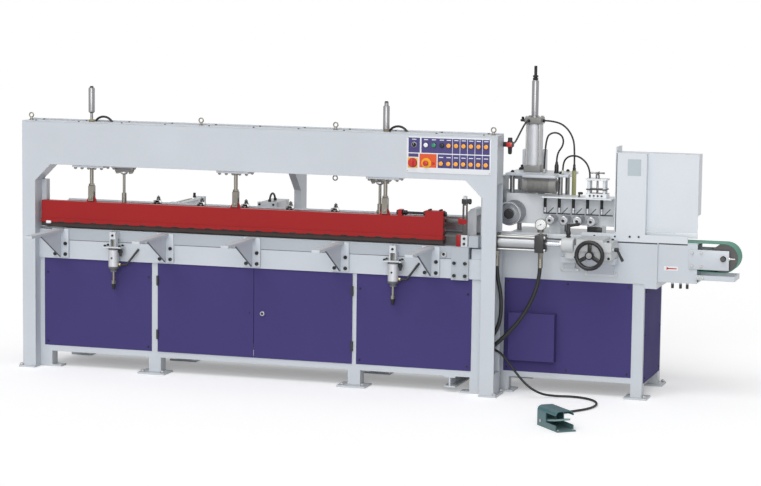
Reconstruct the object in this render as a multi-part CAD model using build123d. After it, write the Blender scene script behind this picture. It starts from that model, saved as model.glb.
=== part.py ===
from build123d import *
import math
import os

# Finger joint press: a press frame with a red press beam over a long bed, and an infeed beside it.
# Sizes are millimetres. X runs along the machine to the infeed, Y to the rear, Z up.
# The origin is on the floor, midway between the anchor holes of the four corner feet.

os.makedirs("parts", exist_ok=True)

# Clearances
running_fit = 0.05
slide_gap = 0.5
belt_gap = 0.3

# Press frame
frame_length = 3080.0
portal_height = 404.0
frame_depth = 150.0
upright_width = 88.0
upright_web = 18.0
upright_flange = 10.0
upright_foot_lip = 20.0
beam_height = 265.0
beam_wall = 8.0
corner_gusset = 105.0
pillar_width = 32.0
pillar_depth = 50.0
pillar_height = 299.0
rear_post_x = 131.0
rear_post_width = 45.0
rear_post_depth = 110.0
rear_post_front = 120.0
rear_arm_height = 80.0
rear_arm_drop = 80.0
rear_brace_drop = 330.0
cover_thickness = 6.0
cover_lip = 8.0
eye_middle_places = (-365.0, 508.0)
eye_left_inset = 30.0
eye_right_inset = 45.0
eye_radius = 14.0
eye_wire = 8.0
eye_shank = 16.0

# Base
base_depth = 550.0
base_setback = 75.0
table_height = 891.0
deck_thickness = 12.0
post_size = 80.0
post_places = (-669.5, 641.0)
rail_low = 100.0
rail_height = 38.0
rail_depth = 60.0
top_rail_height = 120.0
top_rail_proud = 15.0
foot_thickness = 12.0
foot_width = 180.0
foot_reach = 70.0
anchor_inset = 110.0
anchor_hole = 18.0
corner_foot_width = 140.0
skid_inset = 292.0
skid_width = 70.0
skid_plate = 10.0
sheet = 3.0
panel_edge = 31.0
panel_right_edge = 73.0
door_gap = 3.0
post_reveal_left = 41.0
post_reveal_right = 26.0
hinge_pin = 8.0
hinge_barrel = 14.0
hinge_length = 60.0
hinge_inset = 110.0
lock_diameter = 28.0
lock_length = 14.0
lock_offset = 60.0
screw_head = 10.0

# Table and bed
rail_band = 74.0
rail_band_proud = 3.0
rail_left_inset = 177.0
rail_right_inset = 91.0
bed_thickness = 54.0
bed_left_inset = 34.0
bed_setback = 29.0
bed_rear = 52.0
rail_plate_width = 107.0
rail_plate_height = 197.0
rail_plate_thickness = 12.0
end_block_length = 60.0
end_block_height = 68.0
end_block_depth = 60.0
black_bolt = 20.0
black_bolt_head = 10.0
arm_bolt_rise = 67.0
rail_button_gap = 48.0
rail_button_drop = 49.0
rail_button = 34.0

# Support arms
arm_left_inset = 152.0
arm_second_inset = 862.0
arm_last_gap = 128.0
arm_count = 4
arm_length = 480.0
arm_width = 50.0
arm_thickness = 16.0
arm_plate_width = 110.0
arm_plate_height = 180.0
arm_plate_thickness = 12.0
arm_gusset = 10.0
arm_gusset_reach = 300.0
arm_drop = 4.0

# Rear fence and side cylinders
fence_thickness = 12.0
fence_height = 100.0
fence_left_inset = 52.0
fence_right_inset = 167.0
fence_bolt_first = -779.0
fence_bolt_pitch = 297.0
fence_bolt_count = 6
fence_lug = 28.0
fence_lug_height = 14.0
fence_stud = 10.0
fence_stud_height = 26.0
fence_nut = 20.0
fence_nut_height = 9.0
pusher_thickness = 18.0
pusher_low = 12.0
pusher_height = 80.0
pusher_stroke = 80.0
long_side_x = -672.0
long_side_bore = 56.0
long_side_cap = 70.0
long_side_length = 450.0
box_side_x = -55.0
box_side_bore = 95.0
box_side_cap = 120.0
box_side_length = 260.0
side_cap_length = 32.0
side_rod = 20.0
side_axis_height = 66.0
side_gap = 10.0

# Press beam
press_left_inset = 22.0
press_right_inset = 252.0
press_gap = 12.0
pad_thickness = 25.0
press_foot = 20.0
press_height = 135.0
press_reach_front = 28.0
press_reach_rear = 23.0
press_foot_lip = 12.0
press_plate = 12.0
press_rib = 8.0
press_rib_count = 9
lift_first = -1098.0
lift_pitch = 963.0
lift_rod = 24.0
lift_body = 80.0
lift_flange_length = 210.0
lift_flange_width = 130.0
flange_thickness = 14.0
guide_places = (-895.0, 782.0)
guide_setback = 39.0
guide_rod = 18.0
guide_sleeve = 30.0
guide_sleeve_height = 60.0
guide_flange_length = 150.0
guide_flange_width = 70.0
press_stroke = 90.0
lug_thickness = 14.0
lug_height = 46.0
lug_half = 34.0
fork_tine = 11.0
fork_gap = 1.0
fork_height = 95.0
fork_width = 34.0
fork_pin = 14.0
flange_bolt = 22.0
flange_bolt_height = 12.0
tail_tube = 40.0
tail_tube_height = 165.0
tail_short_height = 169.0
tail_neck = 18.0
tail_neck_height = 45.0
tail_base = 34.0
tail_base_height = 12.0
press_block_length = 115.0
press_block_height = 37.0
press_screw = 14.0
press_screw_length = 145.0
press_bracket = 25.0

# End guide and saw cover
link_width = 30.0
link_thickness = 12.0
link_gap = 113.0
link_cap = 27.0
link_slot = 12.0
link_foot_height = 69.0
link_pin = 11.0
link_knob = 24.0
link_knob_height = 30.0
guide_bar_height = 22.0
saw_cover_length = 61.0
saw_cover_front = -130.0
saw_cover_rear = 30.0
saw_cover_height = 160.0
saw_cover_chamfer = 26.0
saw_tunnel_height = 118.0
saw_cover_wall = 6.0

# Stop cylinders
stop_places = (-922.0, 902.0)
stop_offset = 45.0
stop_lug_width = 40.0
stop_lug_height = 46.0
stop_yoke_height = 46.0
stop_yoke_plate = 6.0
stop_flange_width = 120.0
stop_flange_depth = 70.0
stop_flange = 8.0
stop_body = 64.0
stop_body_height = 130.0
stop_neck = 40.0
stop_neck_height = 20.0
stop_pin = 16.0
stop_nut = 26.0
stop_nut_height = 22.0
stop_nut_drop = 55.0
stop_pin_tail = 110.0
stop_stroke = 45.0

# Control panel
panel_width = 521.0
panel_right_inset = 38.0
panel_height = 216.0
panel_drop = 12.0
panel_thickness = 4.0
upper_row_drop = 61.0
row_pitch = 108.0
button_pitch = 46.0
first_button_offset = 215.0
button_count = 7
first_lamp_offset = 261.0
lamp_count = 6
white_lamp_offset = 120.0
start_offset = 169.0
black_offset = 218.0
selector_offset = 47.0
switch_offset = 39.0
stop_offset_x = 123.0
spare_lamp_offset = 167.0
bezel = 30.0
bezel_height = 4.0
cap = 22.0
cap_height = 10.0
cap_depth = 2.0
button_stroke = 4.0
stop_head = 40.0
stop_head_height = 14.0
stop_ring = 60.0
stop_travel = 5.0
knob_length = 18.0
knob_width = 10.0
switch_plate = 62.0
switch_disc = 46.0
switch_handle = 14.0
switch_handle_height = 22.0

# Infeed frame
infeed_gap = 40.0
infeed_length = 889.0
infeed_front = -94.0
infeed_depth = 586.0
infeed_leg = 70.0
infeed_rail_low = 91.0
infeed_rail_height = 35.0
infeed_foot = 140.0
infeed_tie = 60.0
infeed_tie_low = 300.0
casing_height = 250.0
casing_end_height = 275.0
casing_wall = 6.0
casing_overhang = 76.0
infeed_table_thickness = 11.0
infeed_table_left = -40.0
infeed_table_right = 705.0
infeed_table_front = -60.0
infeed_table_rear = 75.0
pump_left = 76.0
pump_right = 361.0
pump_low = 201.0
pump_high = 490.0
pump_proud = 60.0

# Conveyor
belt_width = 144.0
belt_thickness = 4.0
pulley_radius = 83.0
pulley_width = 140.0
tail_x = 466.0
head_x = -89.0
belt_top = 11.0
axle = 25.0
conveyor_wall = 8.0
conveyor_inner = 77.0
conveyor_right = 311.0
conveyor_low = -233.0
conveyor_high = 0.0
slider_thickness = 8.0
tail_plate_right = 497.0
tail_plate_low = -145.0
tail_plate_high = -30.0
tail_plate_thickness = 8.0
tail_strap_low = -210.0
tail_strap_high = -180.0
tail_strap_right = 536.0
knob_places = (163.0, 211.0, 251.0)
under_knob = 16.0
under_knob_length = 36.0

# Feed head
head_left = -10.0
head_right_inset = 219.0
head_front = 90.0
head_plate = 40.0
head_low = 65.0
head_high = 245.0
head_feet = ((260.0, 330.0), (495.0, 590.0))
head_foot_depth = 110.0
shelf_left = 241.0
shelf_front = -50.0
shelf_thickness = 8.0
main_roller_x = 45.0
main_roller_z = 133.0
main_roller = 144.0
main_roller_front = -60.0
main_roller_length = 140.0
main_hub = 46.0
main_hub_length = 18.0
main_shaft = 40.0
small_first_x = 293.0
small_last_inset = 125.0
small_count = 4
small_roller = 56.0
small_z = 103.0
small_front = -50.0
small_length = 116.0
small_shaft = 14.0
arm_plate_front = 74.0
swing_plate = 12.0
swing_width = 26.0
swing_x = 42.0
swing_z = 42.0
plunger_y = 10.0
plunger_count = 5
plunger_last_inset = 71.0
plunger_body = 18.0
plunger_rod = 10.0
plunger_body_height = 42.0
plunger_length = 90.0
vice_width = 130.0
vice_inset = 40.0
vice_front = -10.0
vice_rear = 80.0
vice_base = 25.0
vice_height = 114.0
vice_plate = 10.0
vice_post = 18.0
vice_screw = 14.0
star_height = 152.0
star_hub = 24.0
star_reach = 42.0
star_bar = 10.0

# Saw stand
stand_left = -10.0
stand_right = 380.0
stand_front = 50.0
stand_rear = 340.0
stand_low = 355.0
stand_plate = 16.0
stand_column = 30.0
saw_cylinder_x = 130.0
saw_cylinder_y = 205.0
saw_cylinder_bore = 92.0
saw_cap = 104.0
saw_cap_height = 40.0
saw_barrel_height = 254.0
saw_sleeve = 43.0
saw_sleeve_height = 225.0
saw_tip = 20.0
saw_tip_height = 88.0
saw_rod = 25.0
saw_stroke = 85.0
saw_guide_x = 180.0
saw_guide_spread = 35.0
saw_guide = 25.0
saw_arm_left = -60.0
saw_arm_right = 215.0
saw_arm_front = 150.0
saw_arm_rear = 265.0
saw_arm_thickness = 20.0
saw_arm_gap = 8.0
spindle_plate = 20.0
spindle_front = -70.0
spindle_low = 150.0
spindle_y = -30.0
spindle_z = 205.0
spindle = 24.0
spindle_boss = 60.0
blade = 250.0
blade_x = -90.0
blade_thickness = 3.0
blade_flange = 70.0
blade_flange_thickness = 8.0
saw_motor = 104.0
saw_motor_y = 207.0
saw_motor_length = 175.0
feed_motor_left = 118.0
feed_motor_right = 323.0
feed_motor_y = 0.0
feed_motor = 96.0
drive_box_left = 40.0
drive_box_right = 184.0
drive_box_depth = 70.0
drive_box_height = 130.0
scale_left = 390.0
scale_width = 25.0
scale_y = 115.0
scale_height = 150.0
scale_fitting = 20.0
scale_fitting_height = 35.0
plug_x = 285.0
plug_y = 150.0
plug = 26.0
plug_height = 70.0
return_x = 215.0
return_y = 120.0
line_x = 340.0
line_y = 80.0
line_fitting = 18.0
line_fitting_height = 24.0

# Guard box
guard_left = -184.0
guard_right = 301.0
guard_strip_right = -4.0
guard_front = -88.0
guard_recess = 40.0
guard_depth = 150.0
guard_low = 45.0
guard_panel_low = 62.0
guard_top = 528.0
guard_plate_top = 561.0
guard_plate = 8.0
guard_plate_gap = 10.0
guard_tunnel = 165.0
guard_rail = 10.0
guard_rail_left = -389.0
guard_rail_right = 251.0

# Hydraulic ram, carriage and cross slide
ram_z = -14.0
ram_left = 16.0
ram_cap_left = 25.0
ram_barrel = 85.0
ram_barrel_length = 227.0
ram_cap_right = 54.0
ram_cap_size = 104.0
ram_rod = 26.0
ram_stroke = 80.0
ram_trunnion = 60.0
gauge_diameter = 70.0
gauge_depth = 28.0
gauge_stem = 12.0
gauge_rise = 62.0
port = 22.0
port_length = 34.0
clamp_left = 425.0
clamp_right = 500.0
clamp_diameter = 92.0
saddle_left = 497.0
saddle_right = 728.0
saddle_front = -300.0
saddle_rear = -115.0
saddle_low = -95.0
saddle_high = -45.0
slide_left = 520.0
slide_right = 730.0
slide_front = -320.0
slide_rear = -130.0
slide_high = 13.0
jaw_right = 680.0
jaw_rear = -110.0
jaw_thickness = 14.0
slide_travel = 20.0
console_left = 400.0
console_right = 732.0
console_front = -200.0
console_rail = 35.0
console_knee_left = 550.0
console_knee_right = 705.0
console_low = -210.0
console_leg_left = 405.0
console_leg_right = 470.0
console_leg_low = -170.0
console_foot = 8.0
console_foot_lip = 25.0
wheel_x = 609.0
wheel_z = -62.0
wheel_radius = 90.0
wheel_rim = 22.0
wheel_hub = 42.0
wheel_hub_length = 34.0
wheel_spoke = 18.0
wheel_gap = 22.0
wheel_shaft = 20.0
wheel_shaft_depth = 120.0
wheel_spokes = 3
lever_left_x = 462.0
lever_hub = 22.0
lever_hub_length = 24.0
lever_stud = 12.0
lever_stud_length = 12.0
lever_bar = 13.0
lever_left_run = 62.0
lever_left_rise = 62.0
lever_right_y = -285.0
lever_right_z = -30.0
lever_right_run = 44.0
lever_right_drop = 66.0

# Air regulator
regulator_reach = 42.0
regulator_y = -215.0
regulator_drop = 110.0
regulator_bowl = 34.0
regulator_bowl_height = 44.0
regulator_body = 42.0
regulator_body_height = 30.0
regulator_knob = 28.0
regulator_knob_height = 26.0
regulator_bracket = 12.0

# Foot pedal, turned so that its opening looks to the front right
pedal_x = 612.0
pedal_y = -1152.0
pedal_turn = -50.0
pedal_length = 250.0
pedal_width = 116.0
pedal_base = 8.0
pedal_wall = 6.0
pedal_height = 115.0
pedal_round = 28.0
pedal_hood_length = 222.0
pedal_mouth_depth = 118.0
pedal_mouth_low = 34.0
pedal_mouth_high = 88.0
treadle_length = 165.0
treadle_width = 92.0
treadle_thickness = 10.0
treadle_pivot_z = 32.0
treadle_pin = 10.0
treadle_tilt = 10.0
treadle_inset = 40.0
gland = 24.0
gland_length = 22.0
gland_z = 46.0

# Cords
hose = 24.0
cable = 14.0
air_hose = 11.0
hose_gland = 34.0
hose_gland_length = 8.0
hose_left_z = 318.0
hose_right_z = 262.0
cable_exit_z = 275.0
cable_exit_y = -235.0
cable_first_run = 55.0
cable_last_run = 60.0
cable_floor_gap = 2.0
hose_drop_left = 105.0
vice_hose_inset = 17.0
hose_drop_right = 110.0

# Derived places
half_length = frame_length / 2
inner_x = half_length - upright_width
base_front = -base_depth / 2
base_rear = base_depth / 2
frame_front = base_front - base_setback
frame_rear = frame_front + frame_depth
frame_middle_y = (frame_front + frame_rear) / 2
lift_y = frame_middle_y
guide_y = lift_y + guide_setback
press_front = lift_y - press_reach_front
press_rear = lift_y + press_reach_rear
ram_y = lift_y
bed_front = base_front + bed_setback
beam_low = table_height + portal_height
frame_height = beam_low + beam_height
pillar_top = table_height + pillar_height
eye_places = (-half_length + eye_left_inset, *eye_middle_places, half_length - eye_right_inset)
skid_x = half_length - skid_inset
top_rail_high = table_height - rail_band
top_rail_low = top_rail_high - top_rail_height
rail_left = -inner_x + rail_left_inset
rail_right = inner_x - rail_right_inset
rail_front = base_front - top_rail_proud - rail_band_proud
deck_front = base_front - top_rail_proud + rail_depth
deck_low = table_height - deck_thickness
bed_top = table_height + bed_thickness
bed_left = -inner_x + bed_left_inset
fence_left = -inner_x + fence_left_inset
fence_right = inner_x - fence_right_inset
press_left = -inner_x + press_left_inset
press_right = inner_x - press_right_inset
web_face = inner_x + upright_web
fence_front = bed_rear - fence_thickness
side_axis = bed_top + side_axis_height
side_front = bed_rear + side_gap
pad_low = table_height + press_gap
press_low = pad_low + pad_thickness
press_top = press_low + press_height
lift_places = [lift_first + step * lift_pitch for step in range(3)]
flange_low = beam_low - flange_thickness
infeed_left = half_length - infeed_gap
infeed_right = infeed_left + infeed_length
infeed_rear = infeed_front + infeed_depth
casing_high = bed_top
casing_low = casing_high - casing_height
casing_end_low = casing_high - casing_end_height
infeed_place = Pos(infeed_left, 0, casing_high)
belt_place = Pos(infeed_right, 0, casing_high)
head_right = infeed_length - head_right_inset
small_pitch = (head_right - small_last_inset - small_first_x) / (small_count - 1)
plunger_first = small_first_x - swing_x
plunger_pitch = (head_right - plunger_last_inset - plunger_first) / (plunger_count - 1)
vice_right = head_right - vice_inset
vice_left = vice_right - vice_width
arm_second = arm_second_inset - inner_x
arm_last = rail_right - rail_plate_width - arm_last_gap
arm_pitch = (arm_last - arm_second) / (arm_count - 1)
arm_places = [arm_left_inset - inner_x] + [arm_second + step * arm_pitch for step in range(arm_count)]
arm_top = table_height - arm_drop
belt_radius = pulley_radius + belt_thickness
belt_axis = belt_top - belt_radius
small_places = [small_first_x + step * small_pitch for step in range(small_count)]
panel_right = half_length - panel_right_inset
panel_left = panel_right - panel_width
panel_high = frame_height - panel_drop
panel_low = panel_high - panel_height
upper_row = frame_height - upper_row_drop
lower_row = upper_row - row_pitch
first_button_x = panel_left + first_button_offset
first_lamp_x = panel_left + first_lamp_offset
white_lamp_x = panel_left + white_lamp_offset
spare_lamp_x = panel_left + spare_lamp_offset
start_x = panel_left + start_offset
black_x = panel_left + black_offset
selector_x = panel_left + selector_offset
switch_x = panel_left + switch_offset
stop_x = panel_left + stop_offset_x
button_places = [first_button_x + step * button_pitch for step in range(button_count)]
lamp_places = [first_lamp_x + step * button_pitch for step in range(lamp_count)]
panel_face = frame_front - panel_thickness
bezel_face = panel_face - bezel_height
ram_right = ram_left + ram_cap_left + ram_barrel_length + ram_cap_right
stand_high = stand_low + stand_plate
saw_arm_high = stand_low - saw_arm_gap
saw_arm_low = saw_arm_high - saw_arm_thickness
link_left = press_right + link_gap
link_right = link_left + link_width
regulator_x = half_length + regulator_reach
regulator_low = frame_height - regulator_drop
guide_bar_low = press_top - guide_bar_height - press_foot / 2
link_pin_z = guide_bar_low + guide_bar_height / 2


def block(x, y, z):
    """Box between three (low, high) pairs."""
    spans = (x, y, z)
    middle = [(low + high) / 2 for low, high in spans]
    return Pos(*middle) * Box(*[high - low for low, high in spans])


def rod_x(x, y, z, diameter):
    """Round bar along X between the pair x."""
    return Pos((x[0] + x[1]) / 2, y, z) * Rot(0, 90, 0) * Cylinder(diameter / 2, x[1] - x[0])


def rod_y(x, y, z, diameter):
    """Round bar along Y between the pair y."""
    return Pos(x, (y[0] + y[1]) / 2, z) * Rot(90, 0, 0) * Cylinder(diameter / 2, y[1] - y[0])


def rod_z(x, y, z, diameter):
    """Round bar along Z between the pair z."""
    return Pos(x, y, (z[0] + z[1]) / 2) * Cylinder(diameter / 2, z[1] - z[0])


def hexagon_z(x, y, z, across):
    """Hexagon bar along Z between the pair z."""
    outline = Pos(x, y, z[0]) * RegularPolygon(across / 2, 6, major_radius=False)
    return extrude(outline, z[1] - z[0])


def plate_xz(points, y):
    """Plate with an outline of (x, z) points, between the pair y."""
    outline = make_face(Polyline(*[(px, y[0], pz) for px, pz in points], close=True))
    return extrude(outline, y[1] - y[0], dir=(0, 1, 0))


def plate_yz(points, x):
    """Plate with an outline of (y, z) points, between the pair x."""
    outline = make_face(Polyline(*[(x[0], py, pz) for py, pz in points], close=True))
    return extrude(outline, x[1] - x[0], dir=(1, 0, 0))


def weld(pieces):
    """One solid from pieces that touch."""
    return pieces[0] + list(pieces[1:])


def span(middle, width):
    """Pair of ends of a width about its middle."""
    return (middle - width / 2, middle + width / 2)


def save(name, *pieces, place=Pos(0, 0, 0)):
    """Write a node's solids to its file, moved to their place."""
    solids = [solid for piece in pieces for solid in (place * piece).solids()]
    export_step(solids[0] if len(solids) == 1 else Compound(solids), f"parts/{name}.step")


def cord_tube(name, points, diameter):
    """Tube along straight runs joined by the largest arcs that the runs allow."""
    places = [Vector(*point) for point in points]
    radii = []
    for before, corner, after in zip(places, places[1:], places[2:]):
        turn = math.radians((corner - before).get_angle(after - corner))
        shorter = min((corner - before).length, (after - corner).length)
        radii.append(0.45 * shorter / math.tan(turn / 2))
    path = FilletPolyline(*points, radius=radii)
    start = path @ 0
    tube = sweep(Plane(origin=start, z_dir=path % 0) * Circle(diameter / 2), path=path)
    section = math.pi * diameter ** 2 / 4
    print(name, "radii", [round(radius) for radius in radii], "length", round(path.length),
          "volume share", round(tube.volume / (section * path.length), 4))
    return tube


def gantry_frame():
    """Two channel uprights, the open-topped box beam, gussets, inner pillars and the rear post."""
    depth = (frame_front, frame_rear)
    beam = block((-half_length, half_length), depth, (beam_low, frame_height))
    beam -= block((-half_length + beam_wall, half_length - beam_wall),
                  (frame_front + beam_wall, frame_rear - beam_wall),
                  (beam_low + beam_wall, frame_height))
    for x in lift_places:
        beam -= rod_z(x, lift_y, (beam_low, beam_low + beam_wall), lift_body)
    for x in guide_places:
        beam -= rod_z(x, guide_y, (beam_low, beam_low + beam_wall), guide_sleeve + 2 * slide_gap)
    pieces = [beam]
    for side in (-1, 1):
        upright = block(sorted((side * inner_x, side * half_length)), depth, (0, beam_low))
        upright -= block(sorted((side * web_face, side * half_length)),
                         (frame_front + upright_flange, frame_rear - upright_flange),
                         (rail_low + rail_height, beam_low - upright_web))
        pieces.append(upright)
        pieces.append(block(sorted((side * inner_x, side * (half_length + upright_foot_lip))),
                            (frame_front - upright_foot_lip, frame_rear + upright_foot_lip),
                            (0, foot_thickness)))
        gusset = ((side * inner_x, beam_low), (side * (inner_x - corner_gusset), beam_low),
                  (side * inner_x, beam_low - corner_gusset))
        pieces.append(plate_xz(gusset, (frame_front, frame_rear - upright_foot_lip)))
        pieces.append(block(sorted((side * (inner_x - pillar_width), side * inner_x)),
                            (frame_rear - pillar_depth, frame_rear), (table_height, pillar_top)))
    for z in (hose_left_z, hose_right_z):
        pieces.append(rod_x((web_face, web_face + hose_gland_length), lift_y, z, hose_gland))
    pieces.append(rod_x((web_face, web_face + hose_gland_length), cable_exit_y, cable_exit_z, gland))
    post = span(rear_post_x, rear_post_width)
    post_rear = rear_post_front + rear_post_depth
    arm_high = frame_height - rear_arm_drop
    arm_low = arm_high - rear_arm_height
    pieces.append(block(post, (rear_post_front, post_rear), (table_height, arm_high)))
    pieces.append(block(post, (frame_rear, post_rear), (arm_low, arm_high)))
    brace_low = arm_high - rear_brace_drop
    brace = ((rear_post_front, brace_low), (rear_post_front, arm_low),
             (rear_post_front - (arm_low - brace_low), arm_low))
    pieces.append(plate_yz(brace, post))
    save("gantry_frame", weld(pieces))


def gantry_cover():
    """Cover plate with a rear lip and four lifting eyes."""
    top = frame_height + cover_thickness
    plate = block((-half_length, half_length), (frame_front, frame_rear), (frame_height, top))
    plate += block((-half_length, half_length), (frame_rear - cover_thickness, frame_rear),
                   (top, top + cover_lip))
    eyes = []
    for x in eye_places:
        ring = Pos(x, frame_middle_y, top + eye_shank + eye_radius) * Rot(90, 0, 0)
        shank = rod_z(x, frame_middle_y, (top, top + eye_shank), eye_shank)
        eyes.append(shank + ring * Torus(eye_radius, eye_wire / 2))
    save("gantry_cover", plate, *eyes)


def press_cylinders():
    """Lift cylinders and guide bushes under the gantry beam, and the tubes above its cover."""
    reach = press_stroke + fork_height
    plates = []
    bores = []
    for x in lift_places:
        plates.append(block(span(x, lift_flange_length), span(lift_y, lift_flange_width), (flange_low, beam_low)))
        plates.append(rod_z(x, lift_y, (flange_low, beam_low + reach), lift_body - 2 * running_fit))
        for side in (-1, 1):
            for back in (-1, 1):
                plates.append(hexagon_z(x + side * (lift_flange_length / 2 - flange_bolt),
                                        lift_y + back * (lift_flange_width / 2 - flange_bolt),
                                        (flange_low - flange_bolt_height, flange_low), flange_bolt))
        bores.append(rod_z(x, lift_y, (flange_low, flange_low + reach), lift_rod + 2 * running_fit))
    for x in guide_places:
        plates.append(block(span(x, guide_flange_length), span(guide_y, guide_flange_width), (flange_low, beam_low)))
        plates.append(rod_z(x, guide_y, (flange_low, beam_low + reach), guide_sleeve))
        bores.append(rod_z(x, guide_y, (flange_low, flange_low + reach), guide_rod + 2 * running_fit))
    cylinders = weld(plates)
    for bore in bores:
        cylinders -= bore
    pieces = [cylinders]
    cover_top = frame_height + cover_thickness
    base_top = cover_top + tail_base_height
    neck_top = base_top + tail_neck_height
    tubes = {lift_places[0]: (neck_top, neck_top + tail_tube_height),
             lift_places[2]: (base_top, base_top + tail_short_height)}
    for x, tube in tubes.items():
        pieces.append(weld([rod_z(x, lift_y, (cover_top, base_top), tail_base),
                            rod_z(x, lift_y, (cover_top, neck_top), tail_neck),
                            rod_z(x, lift_y, tube, tail_tube)]))
    save("press_cylinders", *pieces)


def press_beam():
    """Red press beam: foot plate, front and top plates, ribs, lugs, end block and guide bar."""
    length = (press_left, press_right)
    web_low = press_low + press_foot
    depth = (press_front, press_rear)
    pieces = [block(length, (press_front - press_foot_lip, press_rear), (press_low, web_low)),
              block(length, (press_front, press_front + press_plate), (web_low, press_top)),
              block(length, depth, (press_top - press_plate, press_top))]
    pitch = (press_right - press_left - press_rib) / (press_rib_count - 1)
    for step in range(press_rib_count):
        left = press_left + step * pitch
        pieces.append(block((left, left + press_rib), depth, (web_low, press_top)))
    pin_z = press_top + lug_height / 2
    for x in lift_places:
        lug = plate_xz(((x - lug_half, press_top), (x + lug_half, press_top), (x + lug_half / 2, pin_z + lug_half / 2),
                        (x - lug_half / 2, pin_z + lug_half / 2)), span(lift_y, lug_thickness))
        pieces.append(lug - rod_y(x, span(lift_y, lug_thickness), pin_z, fork_pin + 2 * running_fit))
    for x in guide_places:
        pieces.append(block(span(x, 2 * lug_half), (press_rear, guide_y + guide_sleeve / 2),
                            (press_top - lug_half, press_top)))
    block_left = press_right - press_block_length
    screw_z = press_top + press_block_height / 2
    pieces.append(block((block_left, press_right), (press_front, press_rear),
                        (press_top, press_top + press_block_height)))
    bracket_left = block_left - press_screw_length - press_bracket
    pieces.append(block((bracket_left, bracket_left + press_bracket), (press_front, press_rear),
                        (press_top, press_top + press_block_height)))
    pieces.append(rod_x((bracket_left, block_left), lift_y, screw_z, press_screw))
    bar_front = lift_y + link_thickness / 2 + slide_gap
    bar = (press_right, link_right - link_slot)
    pieces.append(block(bar, (bar_front, press_rear), (guide_bar_low, guide_bar_low + guide_bar_height)))
    pin_x = (link_left + link_right) / 2
    front = lift_y - link_thickness / 2 - slide_gap
    pieces.append(rod_y(pin_x, (front, bar_front + link_thickness / 2), link_pin_z, link_pin))
    pieces.append(block(span(pin_x, link_width), (front - link_thickness, front),
                        span(link_pin_z, link_width)))
    save("press_beam", weld(pieces))


def press_pad():
    """Pad strip under the press beam's foot."""
    save("press_pad", block((press_left, press_right), (press_front, press_rear), (pad_low, press_low)))


def press_rods():
    """Lift rods with forks and pins, and guide rods with sleeves."""
    pieces = []
    pin_z = press_top + lug_height / 2
    fork_low = pin_z - fork_width / 2
    fork_top = fork_low + fork_height
    slot = lug_thickness + 2 * fork_gap
    for x in lift_places:
        fork = block(span(x, fork_width), span(lift_y, slot + 2 * fork_tine), (fork_low, fork_top))
        fork -= block(span(x, fork_width), span(lift_y, slot), (fork_low, fork_low + 0.6 * fork_height))
        rod = rod_z(x, lift_y, (fork_top, flange_low + press_stroke), lift_rod)
        pin = rod_y(x, span(lift_y, slot + 2 * fork_tine + fork_pin), pin_z, fork_pin)
        pieces.append(weld([fork, rod, pin]))
    for x in guide_places:
        sleeve_top = press_top + guide_sleeve_height
        pieces.append(rod_z(x, guide_y, (press_top, sleeve_top), guide_sleeve)
                      + rod_z(x, guide_y, (sleeve_top, flange_low + press_stroke), guide_rod))
    save("press_rods", *pieces)


def base_frame():
    """Welded posts, rails, deck, feet with anchor holes and a transport skid."""
    full = (-inner_x, inner_x)
    pieces = [block(full, (deck_front, base_rear), (deck_low, table_height)),
              block(full, (base_front - top_rail_proud, deck_front), (top_rail_low, top_rail_high)),
              block(full, (base_rear - rail_depth, base_rear), (top_rail_low, deck_low))]
    for front in (base_front, base_rear - rail_depth):
        pieces.append(block(full, (front, front + rail_depth), (rail_low, rail_low + rail_height)))
    corners = inner_x - post_size / 2
    middle_y = base_rear - post_size / 2
    for x in (-corners, *post_places, corners):
        front_top = top_rail_high if x in post_places else deck_low
        for side, top in ((-1, front_top), (1, deck_low)):
            pieces.append(block(span(x, post_size), span(side * middle_y, post_size), (0, top)))
        pieces.append(block(span(x, rail_depth), (base_front, base_rear), (rail_low, rail_low + rail_height)))
        pieces.append(block(span(x, rail_depth), (deck_front, base_rear), (deck_low - post_size, deck_low)))
    for x in post_places:
        for side in (-1, 1):
            near = side * (base_rear - post_size)
            pieces.append(block(span(x, foot_width), sorted((near, side * (base_rear + foot_reach))),
                                (0, foot_thickness)))
    anchor_x = inner_x - anchor_inset
    for side in (-1, 1):
        for back in (-1, 1):
            foot = block(sorted((side * inner_x, side * (inner_x - corner_foot_width))),
                         span(back * middle_y, post_size), (0, foot_thickness))
            pieces.append(foot - rod_z(side * anchor_x, back * middle_y, (0, foot_thickness), anchor_hole))
    skid_low = rail_low - skid_width
    for z in (skid_low, rail_low - skid_plate):
        pieces.append(block(span(skid_x, skid_width), (base_front, base_rear), (z, z + skid_plate)))
    pieces.append(block(span(skid_x, skid_plate), (base_front, base_rear), (skid_low, rail_low)))
    save("base_frame", weld(pieces))


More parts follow.
